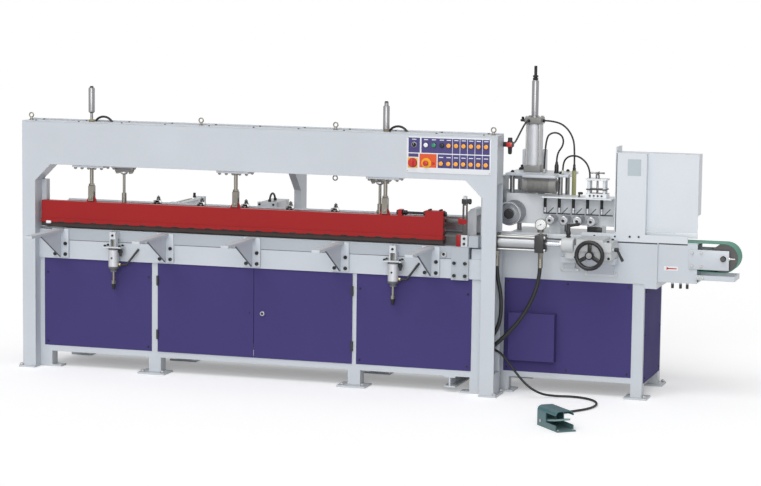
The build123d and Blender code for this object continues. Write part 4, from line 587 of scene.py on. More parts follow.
@dataclass(frozen=True)
class Bench:
    """Bench that shapes, joins and dresses the pieces, in millimetres in the machine's frame.

    Chamfers, sockets and stud ends are shares of the piece's own width or height.
    """

    smooth_angle: float = 32.0
    rod_chamfer: float = 0.06
    nut_chamfer: float = 0.14
    nut_end: float = 0.94
    stud_rise: float = 0.35
    head_chamfer: float = 0.08
    socket_mouth: float = 0.58
    socket_floor: float = 0.52
    socket_height: float = 0.45

    @staticmethod
    def clear() -> None:
        """Leave nothing selected."""
        bpy.ops.object.select_all(action="DESELECT")

    @staticmethod
    def settle() -> Piece:
        """Put the active piece's place, turn and size into its mesh."""
        bpy.ops.object.transform_apply(location=True, rotation=True, scale=True)
        return bpy.context.object

    def pick(self, pieces: Sequence[Piece]) -> None:
        """Select pieces and nothing else.

        Args:
            pieces: The pieces, the first of which becomes the active one.
        """
        self.clear()
        for piece in pieces:
            piece.select_set(True)
        bpy.context.view_layer.objects.active = pieces[0]

    def stand(self, piece: Piece, turn: Sequence[float], place: Point) -> Piece:
        """Turn a piece and bring it to its place.

        Args:
            piece: The piece, modelled upright at the origin.
            turn: Its turn about X, Y and Z.
            place: Its place.

        Returns:
            The piece, with both in its mesh.
        """
        self.pick([piece])
        piece.rotation_euler = turn
        piece.location = metres(place)
        return self.settle()

    def modify(self, piece: Piece, kind: str, **settings: object) -> Piece:
        """Apply a modifier.

        Args:
            piece: The piece.
            kind: The modifier's type.
            settings: The modifier's attributes.

        Returns:
            The piece.
        """
        self.pick([piece])
        bpy.ops.object.modifier_add(type=kind)
        modifier = piece.modifiers[-1]
        for name, value in settings.items():
            setattr(modifier, name, value)
        bpy.ops.object.modifier_apply(modifier=modifier.name)
        return piece

    def box(self, x: Span, y: Span, z: Span, bevel: float = 0.0, segments: int = 2) -> Piece:
        """Box between three spans.

        Args:
            x: Span along X.
            y: Span along Y.
            z: Span along Z.
            bevel: Width of its bevelled edges, or nought for sharp ones.
            segments: Faces across a bevel.

        Returns:
            The box.
        """
        self.clear()
        spans = (x, y, z)
        bpy.ops.mesh.primitive_cube_add(size=1.0, location=metres(middle(span) for span in spans))
        bpy.context.object.scale = metres(span[1] - span[0] for span in spans)
        piece = self.settle()
        if bevel > 0.0:
            self.modify(piece, "BEVEL", width=bevel * MM, segments=segments, limit_method="ANGLE")
        return piece

    def turned(self, axis: Along, place: Point, steps: Sequence[Span], sides: int = 32) -> Piece:
        """Round piece.

        Args:
            axis: Direction of its axis.
            place: Point on the axis that distances are counted from.
            steps: Distance along the axis and diameter there, from one end to the other.
            sides: Number of sides.

        Returns:
            The closed piece.
        """
        self.clear()
        start, width = steps[0]
        bpy.ops.mesh.primitive_circle_add(
            vertices=sides, radius=width / 2 * MM, fill_type="NGON", location=(0.0, 0.0, start * MM))
        self.settle()
        bpy.ops.object.mode_set(mode="EDIT")
        bpy.ops.mesh.select_all(action="SELECT")
        for (low, before), (high, after) in zip(steps, steps[1:]):
            bpy.ops.mesh.extrude_region_move(
                TRANSFORM_OT_translate={"value": (0.0, 0.0, (high - low) * MM)})
            if after != before:
                share = after / before
                bpy.ops.transform.resize(value=(share, share, 1.0), center_override=(0.0, 0.0, high * MM))
        bpy.ops.mesh.select_all(action="SELECT")
        bpy.ops.mesh.normals_make_consistent(inside=False)
        bpy.ops.object.mode_set(mode="OBJECT")
        return self.stand(bpy.context.object, axis.value, place)

    def rod(
            self, axis: Along, place: Point, span: Span, width: float, edge: float = 0.0,
            sides: int = 32) -> Piece:
        """Round bar with chamfered ends.

        Args:
            axis: Direction of its axis.
            place: Point on the axis that its span is counted from.
            span: Where it starts and ends along the axis.
            width: Its diameter.
            edge: Its chamfer, or nought for the usual one.
            sides: Number of sides.

        Returns:
            The bar.
        """
        cut = edge or min(width, abs(span[1] - span[0])) * self.rod_chamfer
        low, high = sorted(span)
        ends = width - 2 * cut
        return self.turned(
            axis, place, ((low, ends), (low + cut, width), (high - cut, width), (high, ends)), sides)

    def strut(self, start: Point, end: Point, width: float, sides: int = 16) -> Piece:
        """Round bar between two points.

        Args:
            start: Its first end.
            end: Its second end.
            width: Its diameter.
            sides: Number of sides.

        Returns:
            The bar.
        """
        run = Vector(end) - Vector(start)
        piece = self.rod(Z, ORIGIN, (0.0, run.length), width, sides=sides)
        return self.stand(piece, run.to_track_quat("Z", "Y").to_euler(), start)

    def nut(self, axis: Along, place: Point, span: Span, across: float, stud: float = 0.0) -> Piece:
        """Hexagon nut or head with chamfered corners.

        Args:
            axis: Direction of its axis.
            place: Point on the axis that its span is counted from.
            span: Its seat and its outer face along the axis.
            across: Width across its flats.
            stud: Diameter of the stud end that stands out of it, or nought for none.

        Returns:
            The nut.
        """
        low, high = span
        wide = across / math.cos(math.pi / 6)
        cut = (high - low) * self.nut_chamfer
        end = wide * self.nut_end
        piece = self.turned(
            axis, place, ((low, end), (low + cut, wide), (high - cut, wide), (high, end)), 6)
        if not stud:
            return piece
        tip = high + math.copysign(stud * self.stud_rise, high - low)
        return self.join([piece, self.rod(axis, place, (low, tip), stud, sides=16)])

    def socket_bolt(self, axis: Along, place: Point, height: float, width: float) -> Piece:
        """Cap screw head with its socket.

        Args:
            axis: Direction of its axis.
            place: Middle of its seat.
            height: Its height; a negative one points against the axis.
            width: Its diameter.

        Returns:
            The head.
        """
        cut = self.head_chamfer * width
        under = height - math.copysign(cut, height)
        steps = (
            (0.0, width), (under, width), (height, width - 2 * cut), (height, width * self.socket_mouth),
            (height * self.socket_height, width * self.socket_floor))
        return self.turned(axis, place, steps, 18)

    def ring(
            self, axis: Along, place: Point, radius: float, wire: float,
            sides: tuple[int, int] = (40, 12)) -> Piece:
        """Round ring of round wire.

        Args:
            axis: Direction that its hole looks in.
            place: Its centre.
            radius: Radius of the wire's middle line.
            wire: Diameter of the wire.
            sides: Number of sides round the ring and round the wire.

        Returns:
            The ring.
        """
        self.clear()
        bpy.ops.mesh.primitive_torus_add(
            major_radius=radius * MM, minor_radius=wire / 2 * MM, major_segments=sides[0],
            minor_segments=sides[1])
        return self.stand(bpy.context.object, axis.value, place)

    def trim(self, piece: Piece, height: float) -> Piece:
        """Cut away what lies below a height.

        Args:
            piece: The piece.
            height: Height of the cut.

        Returns:
            The piece, closed at the cut.
        """
        self.pick([piece])
        bpy.ops.object.mode_set(mode="EDIT")
        bpy.ops.mesh.select_all(action="SELECT")
        bpy.ops.mesh.bisect(
            plane_co=(0.0, 0.0, height * MM), plane_no=(0.0, 0.0, -1.0), use_fill=True, clear_outer=True)
        bpy.ops.object.mode_set(mode="OBJECT")
        return piece

    def cut(self, piece: Piece, tool: Piece) -> Piece:
        """Take a tool's shape out of a piece.

        Args:
            piece: The piece.
            tool: The tool, which is used up.

        Returns:
            The piece.
        """
        self.modify(piece, "BOOLEAN", operation="DIFFERENCE", solver="EXACT", object=tool)
        bpy.data.objects.remove(tool, do_unlink=True)
        return piece

    def turn(self, piece: Piece, axis: Along, degrees: float, place: Point) -> Piece:
        """Turn a piece.

        Args:
            piece: The piece.
            axis: Direction of the axis that it turns about.
            degrees: How far it turns.
            place: Point on that axis.

        Returns:
            The piece.
        """
        self.pick([piece])
        shift = Matrix.Translation(metres(place))
        spin = Matrix.Rotation(math.radians(degrees), 4, axis.name)
        piece.matrix_world = shift @ spin @ shift.inverted() @ piece.matrix_world
        return self.settle()

    @staticmethod
    def twin(piece: Piece) -> Piece:
        """Copy a piece.

        Args:
            piece: The piece.

        Returns:
            The copy, with its own mesh.
        """
        copy = piece.copy()
        copy.data = piece.data.copy()
        bpy.context.collection.objects.link(copy)
        return copy

    def at(self, piece: Piece, places: Sequence[Point]) -> Piece:
        """Copies of a piece at places.

        Args:
            piece: The piece, modelled at the origin.
            places: Where it and its copies go.

        Returns:
            All of them as one piece.
        """
        made = [piece] + [self.twin(piece) for _ in places[1:]]
        for part, place in zip(made, places):
            part.location = metres(place)
        self.pick(made)
        bpy.ops.object.transform_apply(location=True, rotation=False, scale=False)
        return self.join(made)

    def around(self, piece: Piece, axis: Along, place: Point, angles: Sequence[float]) -> Piece:
        """Copies of a piece, turned by angles in degrees round an axis through a place, as one piece."""
        made = [piece] + [self.twin(piece) for _ in angles[1:]]
        return self.join([self.turn(part, axis, angle, place) for part, angle in zip(made, angles)])

    def join(self, pieces: Sequence[Piece]) -> Piece:
        """Make one piece of several.

        Args:
            pieces: The pieces.

        Returns:
            The one piece.
        """
        if len(pieces) == 1:
            return pieces[0]
        self.pick(pieces)
        bpy.ops.object.join()
        return self.settle()

    def show(
            self, name: str, finish: Finish, pieces: Sequence[Piece], body: str = MACHINE,
            replaces: Sequence[str] = ()) -> None:
        """Name, dress and hang up a piece.

        Args:
            name: Name of the piece.
            finish: Its finish.
            pieces: The parts that make it up.
            body: The moving body that it rides on.
            replaces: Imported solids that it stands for.
        """
        piece = self.join(pieces)
        self.pick([piece])
        bpy.ops.object.shade_smooth_by_angle(angle=math.radians(self.smooth_angle))
        piece.name = name
        piece.data.name = name
        piece.data.materials.clear()
        piece.data.materials.append(finish.material)
        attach(piece, body)
        if replaces:
            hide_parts(*replaces)
        log.info("piece %s on %s", name, body)

    def row(
            self, name: str, finish: Finish, piece: Piece, places: Sequence[Point],
            body: str = MACHINE) -> None:
        """Show copies of a piece, which was modelled at the origin, at places."""
        self.show(name, finish, [self.at(piece, places)], body)


bench = Bench()


@dataclass(frozen=True)
class Cord:
    """A hose or cable along its route, in metres."""

    name: str
    node: str
    diameter: float
    length: float
    stiffness: str
    lay: str
    route: tuple[Point, ...]

    def build(self) -> None:
        curve = bpy.data.curves.new(self.name, "CURVE")
        curve.dimensions = "3D"
        spline = curve.splines.new("NURBS")
        spline.points.add(len(self.route) - 1)
        for point, place in zip(spline.points, self.route):
            point.co = (*place, 1.0)
        spline.order_u = 3
        spline.use_endpoint_u = True
        curve.resolution_u = 12
        curve.bevel_depth = self.diameter / 2
        curve.bevel_resolution = 5
        curve.use_fill_caps = True
        curve.materials.append(Finish.RUBBER.material)
        piece = bpy.data.objects.new(self.name, curve)
        bpy.context.collection.objects.link(piece)
        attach(piece, MACHINE)
        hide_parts(self.node)
        log.info("cord %s", self.name)


CORDS = (
    Cord("hydraulic_hose_left", "hydraulic_hoses", 0.024, 0.552, "stiff", "hanging",
         ((1.5285, -0.275, 0.845), (1.5285, -0.275, 0.740), (1.558, -0.275, 0.620), (1.562, -0.275, 0.490),
          (1.534, -0.275, 0.385), (1.478, -0.275, 0.318))),
    Cord("hydraulic_hose_right", "hydraulic_hoses", 0.024, 0.690, "stiff", "hanging",
         ((1.795, -0.275, 0.845), (1.795, -0.275, 0.735), (1.755, -0.275, 0.600), (1.680, -0.275, 0.465),
          (1.580, -0.275, 0.355), (1.478, -0.275, 0.262))),
    Cord("foot_pedal_cable", "pedal_cable", 0.014, 1.644, "medium", "loose",
         ((1.478, -0.235, 0.275), (1.533, -0.235, 0.275), (1.605, -0.258, 0.205), (1.680, -0.285, 0.125),
          (1.745, -0.300, 0.068), (1.815, -0.270, 0.025), (1.890, -0.215, 0.009), (1.985, -0.190, 0.009),
          (2.090, -0.225, 0.009), (2.160, -0.310, 0.009), (2.188, -0.430, 0.009), (2.165, -0.555, 0.009),
          (2.095, -0.665, 0.009), (2.025, -0.770, 0.009), (1.972, -0.875, 0.022), (1.9789, -0.9934, 0.046),
          (2.0175, -1.0394, 0.046))),
    Cord("air_hose_over", "saw_hoses", 0.011, 0.412, "medium", "hanging",
         ((1.682, 0.205, 1.630), (1.755, 0.205, 1.630), (1.830, 0.190, 1.600), (1.885, 0.160, 1.530),
          (1.9025, 0.115, 1.450), (1.9025, 0.115, 1.375))),
    Cord("air_hose_loop", "saw_hoses", 0.011, 0.469, "medium", "hanging",
         ((1.785, 0.150, 1.386), (1.785, 0.150, 1.435), (1.822, 0.156, 1.485), (1.822, 0.156, 1.533),
          (1.793, 0.150, 1.562), (1.751, 0.142, 1.562), (1.722, 0.132, 1.533), (1.715, 0.120, 1.385),
          (1.715, 0.120, 1.340))),
    Cord("air_hose_supply", "saw_hoses", 0.011, 0.390, "medium", "hanging",
         ((1.582, -0.194, 1.509), (1.582, -0.130, 1.509), (1.575, -0.050, 1.515), (1.580, 0.020, 1.555),
          (1.605, 0.080, 1.630), (1.605, 0.153, 1.630))),
    Cord("air_hose_line", "saw_hoses", 0.011, 0.326, "medium", "hanging",
         ((1.840, 0.080, 1.340), (1.840, 0.080, 1.390), (1.875, 0.070, 1.430), (1.935, 0.058, 1.435),
          (1.990, 0.046, 1.400), (2.017, 0.038, 1.345), (2.017, 0.038, 1.304))),
)


@dataclass
class Studio:
    """White studio with camera, pale floor, even sky and two soft lamps, in metres and degrees."""

    camera_place: Point = (5.037, -14.091, 2.558)
    yaw: float = 17.046
    pitch: float = 6.59
    roll: float = 0.722
    lens: float = 113.63
    sensor: float = 36.0
    view_depth: float = 200.0
    floor_size: float = 60.0
    floor_lift: float = 0.27
    floor_shades: tuple[Colour, Colour] = ((0.74, 0.74, 0.75, 1.0), (0.78, 0.78, 0.78, 1.0))
    floor_seen: tuple[Colour, Colour] = ((0.98, 0.98, 0.99, 1.0), WHITE)
    floor_clouds: Span = (0.8, 3.0)
    sky: float = 0.42
    lamp_spread: float = 36.0
    main_lamp: Point = (-0.15, -0.55, 0.82)
    main_power: float = 0.9
    front_lamp: Point = (0.16, -0.95, 0.26)
    front_power: float = 1.1

    def build(self) -> None:
        """Set up the camera, the floor, the sky and the lamps."""
        self.camera()
        self.floor()
        self.world()
        self.lamp("main_lamp", self.main_lamp, self.main_power)
        self.lamp("front_lamp", self.front_lamp, self.front_power)

    def camera(self) -> None:
        """Camera at the photograph's place and angle."""
        yaw, pitch, roll = (math.radians(angle) for angle in (self.yaw, self.pitch, self.roll))
        ahead = Vector(
            (-math.sin(yaw) * math.cos(pitch), math.cos(yaw) * math.cos(pitch), -math.sin(pitch)))
        right = Vector((math.cos(yaw), math.sin(yaw), 0.0))
        up = right.cross(ahead)
        level = math.cos(roll) * right + math.sin(roll) * up
        upright = -math.sin(roll) * right + math.cos(roll) * up
        bpy.ops.object.camera_add()
        camera = bpy.context.object
        camera.name = "camera"
        turn = Matrix((level, upright, -ahead)).transposed().to_4x4()
        camera.matrix_world = Matrix.Translation(self.camera_place) @ turn
        camera.data.lens = self.lens
        camera.data.sensor_width = self.sensor
        camera.data.sensor_fit = "HORIZONTAL"
        camera.data.clip_end = self.view_depth
        bpy.context.scene.camera = camera

    def floor(self) -> None:
        """Pale floor that looks white in the light and keeps the shadow."""
        bpy.ops.mesh.primitive_plane_add(size=self.floor_size)
        floor = bpy.context.object
        floor.name = "floor"
        material = bpy.data.materials.new("pale_floor")
        material.use_nodes = True
        nodes = material.node_tree.nodes
        nodes.remove(nodes["Principled BSDF"])
        graph = Graph(material.node_tree)
        cloud = graph.noise(*self.floor_clouds)
        plain, bright = (graph.blend(cloud, *shades) for shades in (self.floor_shades, self.floor_seen))
        seen = self.seen(graph)
        diffuse = graph.add("BsdfDiffuse", Color=graph.blend(seen, plain, bright))
        lift = graph.add("Emission", Strength=graph.maths("MULTIPLY", seen, self.floor_lift))
        both = graph.add("AddShader")
        for socket, part in zip(both.inputs, (diffuse, lift)):
            graph.put(socket, part.outputs[0])
        graph.put(nodes["Material Output"].inputs["Surface"], both.outputs[0])
        floor.data.materials.append(material)

    @staticmethod
    def seen(graph: Graph) -> Socket:
        """Tell what the camera sees from what only lights the machine.

        Args:
            graph: The graph to work in.

        Returns:
            A socket that is one for rays from the camera, also by way of bright metal or glass.
        """
        path = graph.add("LightPath").outputs
        through = graph.maths("MAXIMUM", path["Is Glossy Ray"], path["Is Transmission Ray"])
        return graph.maths("MAXIMUM", path["Is Camera Ray"], through)

    def world(self) -> None:
        """Even pale sky, white where the camera or bright metal sees it."""
        scene = bpy.context.scene
        scene.world = bpy.data.worlds.new("studio_sky")
        scene.world.use_nodes = True
        graph = Graph(scene.world.node_tree)
        graph.fill(
            scene.world.node_tree.nodes["Background"].inputs, Color=WHITE,
            Strength=graph.spread(self.seen(graph), FULL, self.sky, 1.0))
        scene.view_settings.view_transform = "Standard"

    def lamp(self, name: str, origin: Point, power: float) -> None:
        """Wide soft lamp, far off in a direction.

        Args:
            name: Name of the lamp.
            origin: Direction that its light comes from.
            power: Strength of its light.
        """
        bpy.ops.object.light_add(type="SUN", location=origin)
        lamp = bpy.context.object
        lamp.name = name
        lamp.data.energy = power
        lamp.data.angle = math.radians(self.lamp_spread)
        lamp.rotation_euler = Vector(origin).to_track_quat("Z", "Y").to_euler()


@dataclass
class Gantry:
    """Cover with its eyes, lift flanges and a hook under the beam, and the tail tubes above it."""

    half_length: float = 1540
    front: float = -350
    rear: float = -200
    axis_y: float = -275
    top: float = 1566
    cover_thickness: float = 6
    lip_height: float = 8
    screw_places: range = range(-1450, 1451, 290)
    under: float = 1295
    flange: float = 14
    flange_size: Span = (210, 130)
    flange_bolts: Row = (-88, -44, 0, 44, 88)
    guide_flange_size: Span = (150, 70)
    block_y: Span = (-255, -205)
    block_height: float = 26
    lifts: Row = (-1098, -135, 828)
    guides: Row = (-895, 782)
    guide_y: float = -236
    eyes: Row = (-1510, -365, 508, 1495)
    hook_x: float = 508
    arch_radius: float = 67
    arch_drop: float = 37
    arch_offset: float = 62
    foot_top: float = 12
    foot_rows: Span = (-358, -192)

    def build(self) -> None:
        """Model the gantry's fittings."""
        self.cover()
        self.flanges()
        self.guide_blocks()
        self.hook()
        self.tail_tubes()
        self.posts()

    def cover(self) -> None:
        """Cover plate with a folded rear lip, screws and lifting eyes."""
        long = (-self.half_length, self.half_length)
        plate = bench.box(long, (self.front, self.rear), (self.top - self.cover_thickness, self.top), 1.5)
        lip = bench.box(
            long, (self.rear - self.cover_thickness, self.rear), (self.top, self.top + self.lip_height), 1)
        bench.show("cover_plate", Finish.GREY, [plate, lip], replaces=["gantry_cover"])
        eye = bench.turned(Z, ORIGIN, ((0, 28), (4, 28), (6, 19), (18, 13)))
        loop = bench.ring(Y, (0, 0, 30), 14, 8, (32, 12))
        places = grid(self.eyes, self.axis_y, self.top)
        bench.row("lifting_eyes", Finish.ROD_STEEL, bench.join([eye, loop]), places)
        screw = bench.socket_bolt(Z, ORIGIN, 5, 11)
        places = grid(self.screw_places, (self.front + 16, self.rear - 18), self.top)
        bench.row("cover_screws", Finish.BOLT, screw, places)

    def flanges(self) -> None:
        """Flange plates with their hanging bolts, glands and guide bushes."""
        low = self.under - self.flange
        sets = (
            (self.lifts, self.axis_y, self.flange_size),
            (self.guides, self.guide_y, self.guide_flange_size))
        plates = []
        for places, y, (width, depth) in sets:
            plates += [bench.box(about(x, width), about(y, depth), (low, self.under), 2.5) for x in places]
        bench.show("lift_flanges", Finish.GREY, plates, replaces=["press_cylinders"])
        bolt = bench.nut(Z, ORIGIN, (0, -10), 17, 9)
        places = grid(
            [x + dx for x in self.lifts for dx in self.flange_bolts], about(self.axis_y, 100), low)
        places += grid([end for x in self.guides for end in about(x, 120)], about(self.guide_y, 44), low)
        bench.row("flange_bolts", Finish.ROD_STEEL, bolt, places)
        gland = bench.turned(Z, ORIGIN, ((0, 62), (-6, 62), (-8, 56), (-12, 42)))
        bush = bench.turned(Z, ORIGIN, ((-24, 48), (-34, 48), (-38, 40), (-41, 32)))
        glands = bench.at(gland, grid(self.lifts, self.axis_y, low))
        bushes = bench.at(bush, grid(self.guides, self.guide_y, low))
        bench.show("lift_glands", Finish.STEEL, [glands, bushes])

    def guide_blocks(self) -> None:
        """Blocks round the guide rods, with their studs."""
        high = self.under - self.flange
        low = high - self.block_height
        blocks = [bench.box(about(x, 112), self.block_y, (low, high), 3) for x in self.guides]
        bench.show("guide_blocks", Finish.MOTOR, blocks)
        stud = bench.nut(Z, ORIGIN, (0, -9), 15, 8)
        sides = [end for x in self.guides for end in about(x, 88)]
        bench.row(
            "guide_studs", Finish.ROD_STEEL, stud, grid(sides, (self.guide_y - 9, self.guide_y + 20), low))

    def hook(self) -> None:
        """Ring on a stem under the beam."""
        loop = bench.ring(Y, (self.hook_x, self.axis_y, self.under - 22), 14, 8, (32, 10))
        stem = bench.rod(Z, (self.hook_x, self.axis_y, self.under), (-12, 0), 22)
        bench.show("beam_hook", Finish.ROD_STEEL, [loop, stem])

    def tail_tubes(self) -> None:
        """Two tubes of the outer lift cylinders with brass feet, dark tips and pipe arches."""
        necked = ((10, 18), (52, 18), (57, 32), (62, 40), (206, 40), (212, 34), (214, 26))
        straight = ((10, 32), (15, 40), (150, 40), (155, 34), (157, 26), (174, 26))
        tubes = []
        feet = []
        tips = []
        arches = []
        for x, steps in ((self.lifts[0], necked), (self.lifts[2], straight)):
            place = (x, self.axis_y, self.top)
            tubes.append(bench.turned(Z, place, steps))
            feet.append(bench.nut(Z, place, (0, 14), 32))
            end = steps[-1][0]
            tips.append(bench.turned(Z, place, ((end - 2, 23), (end + 5, 23), (end + 8, 16))))
            centre = (x + self.arch_offset, self.rear - 30, self.top - self.arch_drop)
            arches.append(bench.trim(bench.ring(Y, centre, self.arch_radius, 14, (48, 12)), self.top))
        bench.show("tail_tubes", Finish.TUBE_STEEL, tubes)
        bench.show("tail_feet", Finish.BRASS, feet)
        bench.show("tail_tips", Finish.BOLT, tips)
        bench.show("pipe_arches", Finish.BLACK, arches)

    def posts(self) -> None:
        """Anchor bolts on the uprights' feet."""
        bolt = bench.nut(Z, ORIGIN, (0, 11), 22, 14)
        places = grid(about(0, 2 * self.half_length + 12), self.foot_rows, self.foot_top)
        bench.row("foot_bolts", Finish.ZINC, bolt, places)


@dataclass
class PressBeam:
    """Fittings that ride on the red press beam."""

    body: str = "press"
    lifts: Row = (-1098, -135, 828)
    axis_y: float = -275
    foot_front: float = -315
    foot_low: float = 928
    notch_shadows: range = range(-1290, 1130, 110)
    pin_z: float = 1086
    fork_top: float = 1164
    fork_half: float = 19
    screw: Point = (940, -275, 1081.5)
    thread_pitch: float = 2.5
    thread_width: Span = (14.4, 15.4)
    screw_nuts: tuple[Span, ...] = ((-38, -25), (0, 14), (16, 27), (131, 145), (260, 273))
    block_top: float = 1100
    block_end: float = 1200
    bar_end: float = 1284

    def build(self) -> None:
        """Model the beam's fittings."""
        self.forks()
        self.adjuster()
        self.lip()

    def forks(self) -> None:
        """Lock nuts over the forks and headed pins through them."""
        nut = bench.nut(Z, ORIGIN, (0, 13), 32)
        bench.row(
            "fork_nuts", Finish.ROD_STEEL, nut, grid(self.lifts, self.axis_y, self.fork_top), self.body)
        head = bench.turned(Y, ORIGIN, ((0, 23), (-3, 23), (-3.5, 19), (-8, 19), (-10, 14)))
        heads = grid(self.lifts, self.axis_y - self.fork_half, self.pin_z)
        bench.row("fork_pins", Finish.ROD_STEEL, head, heads, self.body)

    def adjuster(self) -> None:
        """Adjusting screw with black nuts, the end block's bolts, and the guide bar with its slider."""
        thread = [(step * self.thread_pitch, self.thread_width[step % 2]) for step in range(59)]
        rod = bench.turned(X, self.screw, thread, 18)
        nuts = [bench.nut(X, self.screw, span, 27) for span in self.screw_nuts]
        bench.show("press_screw", Finish.BOLT, [rod] + nuts, self.body)
        caps = [
            bench.socket_bolt(Z, place, 9, 16)
            for place in grid((1110, 1178), (-292, -262), self.block_top)]
        caps += [
            bench.socket_bolt(X, place, 9, 16) for place in grid(self.block_end, (-290, -264), (966, 1010))]
        bench.show("end_block_bolts", Finish.BOLT, caps, self.body)
        bar = bench.box((self.block_end + 0.5, self.bar_end), (-269, -251.4), (1030.5, 1053.5), 1)
        bench.show("guide_bar_skin", Finish.DARK_STEEL, [bar], self.body)
        slider = bench.box((self.bar_end, 1311.5), (-271, -250), (1024, 1060), 3)
        bench.show("link_slider", Finish.RED, [slider], self.body)

    def lip(self) -> None:
        """Dark patches of painted shade for the clamp notch recesses along the foot's front, and the
        faintly glowing pale stop at its left end.
        """
        # Black patches that stand out of the foot's face: painted shade of the notch recesses.
        notch = bench.box((-20, 20), (-1.4, 4), (0, 5), 0.6)
        bench.row(
            "lip_notches", Finish.BOLT, notch, grid(self.notch_shadows, self.foot_front, self.foot_low),
            self.body)
        stop = bench.box((-1390, -1356), (-329, -314), (919, 937), 6, 4)
        # Painted light: the stop glows faintly, though it is no lamp.
        bench.show("lip_stop", Finish.LAMP_WHITE, [stop], self.body)


@dataclass
class Table:
    """Bolts and fittings of the table rail, its arms, the fence and the cylinders."""

    arms: Row = (-1300, -590, -18, 554, 1126)
    arm_bolt_gap: float = 70
    arm_bolt_rows: Span = (727, 794)
    plate_front: float = -305
    plate_bolts: Span = (1274, 1341)
    plate_bolt_rows: Span = (716, 793)
    button: Point = (1206, -293, 842)
    gusset_front: float = -605
    gusset_top: float = 871
    gusset_low: float = 707
    shadow_line_x: Span = (-1275, 1254)
    shadow_line_y: Span = (-291.2, -289.4)
    shadow_line_z: Span = (813.8, 817.2)
    fence_start: float = -779
    fence_pitch: float = 297
    fence_y: float = 46
    fence_top: float = 1059
    long_x: float = -672
    square_x: float = -55
    side_z: float = 1011
    square_side: float = 118.6
    square_front: float = 62
    link_x: float = 1328
    link_y: float = -275
    clamp_z: float = 1163
    stops: Row = (-922, 902)
    stop_y: float = -338

    def build(self) -> None:
        """Model the table's fittings."""
        self.bolts()
        self.edges()
        self.fence()
        self.long_cylinder()
        self.square_cylinder()
        self.stop_cylinders()
        self.link()

    def bolts(self) -> None:
        """Black cap screws on the arms and the right plate, and the bright button beside it."""
        bolt = bench.turned(Y, ORIGIN, ((0, 22), (-9.6, 22), (-11.6, 19), (-11.6, 12), (-10.6, 11)), 24)
        columns = [end for x in self.arms for end in about(x, self.arm_bolt_gap)]
        places = grid(columns, self.plate_front, self.arm_bolt_rows)
        places += grid(self.plate_bolts, self.plate_front, self.plate_bolt_rows)
        bench.row("arm_bolts", Finish.BOLT, bolt, places)
        rim = bench.turned(Y, self.button, ((0, 40), (-9, 40), (-12, 35), (-12, 25), (-10.4, 24)))
        bench.show("rail_button_rim", Finish.STEEL, [rim])
        x, y, z = self.button
        bench.show("rail_button_hub", Finish.BOLT, [bench.socket_bolt(Y, (x, y - 10, z), -5, 18)])

    def edges(self) -> None:
        """Painted shade: dark strips along the sloping edges under the arms' gussets, and a dark line of
        painted shadow under the upper band.
        """
        run = Vector((0, self.plate_front - self.gusset_front, self.gusset_low - self.gusset_top))
        # Strip along each gusset's downward-facing edge: painted shade.
        strip = bench.box((-5.1, 5.1), (4, run.length - 4), (-0.8, 0.8), 0.3, 1)
        strip = bench.turn(strip, X, math.degrees(math.atan2(run.z, run.y)), ORIGIN)
        bench.row("gusset_edges", Finish.SHADE, strip, grid(self.arms, self.gusset_front, self.gusset_top))
        # Dark line in the recess under the upper band: painted shadow of its overhang.
        bench.show("rail_seam", Finish.SHADE, [bench.box(self.shadow_line_x, self.shadow_line_y, self.shadow_line_z, 0.3, 1)])

    def fence(self) -> None:
        """Adjusting nuts, studs and set screws along the fence."""
        columns = [self.fence_start + self.fence_pitch * step for step in range(6)]
        places = grid(columns, self.fence_y, self.fence_top)
        lower = bench.nut(Z, ORIGIN, (0, 9.6), 22)
        upper = bench.nut(Z, ORIGIN, (12, 20), 19)
        bench.row("fence_nuts", Finish.BOLT, bench.join([lower, upper]), places)
        stud = bench.rod(Z, ORIGIN, (8, 28), 10.8, 1.2, 18)
        plate = bench.box((-26, 26), (-22, -14), (-40, -2), 1.5)
        ear = bench.box((-14.4, 14.4), (-22, 14.4), (-14.4, -0.5), 1)
        bench.row("fence_studs", Finish.ZINC, bench.join([stud, plate, ear]), places)
        screws = bench.at(bench.nut(Y, (0, -22, -22), (0, -8), 15, 8), grid((-14, 14), 0, 0))
        bench.row("fence_screws", Finish.BOLT, screws, places)

    def long_cylinder(self) -> None:
        """Barrel, tie rods and fitting of the long cylinder behind the fence."""
        barrel = bench.rod(Y, (self.long_x, 0, self.side_z), (92, 382), 57.4)
        bench.show("long_barrel", Finish.PALE, [barrel])
        tie = bench.rod(Y, ORIGIN, (58, 418), 9, 1, 16)
        bench.row("long_ties", Finish.ZINC, tie, grid(about(self.long_x, 54), 0, about(self.side_z, 54)))
        fitting = bench.nut(Z, (self.long_x, 396, 1046), (0, 14), 18)
        elbow = bench.rod(Z, (self.long_x, 396, 1058), (0, 20), 17)
        bench.show("long_fitting", Finish.BOLT, [fitting, elbow])

    def square_cylinder(self) -> None:
        """Body, front plug, corner screws and pipe arch of the square cylinder behind the fence."""
        body = bench.box(
            about(self.square_x, self.square_side), (93, 291), about(self.side_z, self.square_side), 8, 3)
        bench.show("square_barrel", Finish.ALUMINIUM, [body])
        front = (self.square_x, self.square_front, self.side_z)
        plug = bench.turned(Y, front, ((0, 56), (-2, 56), (-2, 44), (-1, 42)))
        corners = grid(about(self.square_x, 92), self.square_front, about(self.side_z, 92))
        bench.show(
            "square_front", Finish.BOLT, [plug, bench.at(bench.socket_bolt(Y, ORIGIN, -7, 14), corners)])
        arch = bench.trim(bench.ring(X, (self.square_x, 172, 1066), 52, 13, (40, 12)), 1071)
        ends = [bench.rod(Z, (self.square_x, y, 1070), (0, 14), 20) for y in (120, 224)]
        bench.show("square_pipe", Finish.BLACK, [arch] + ends)

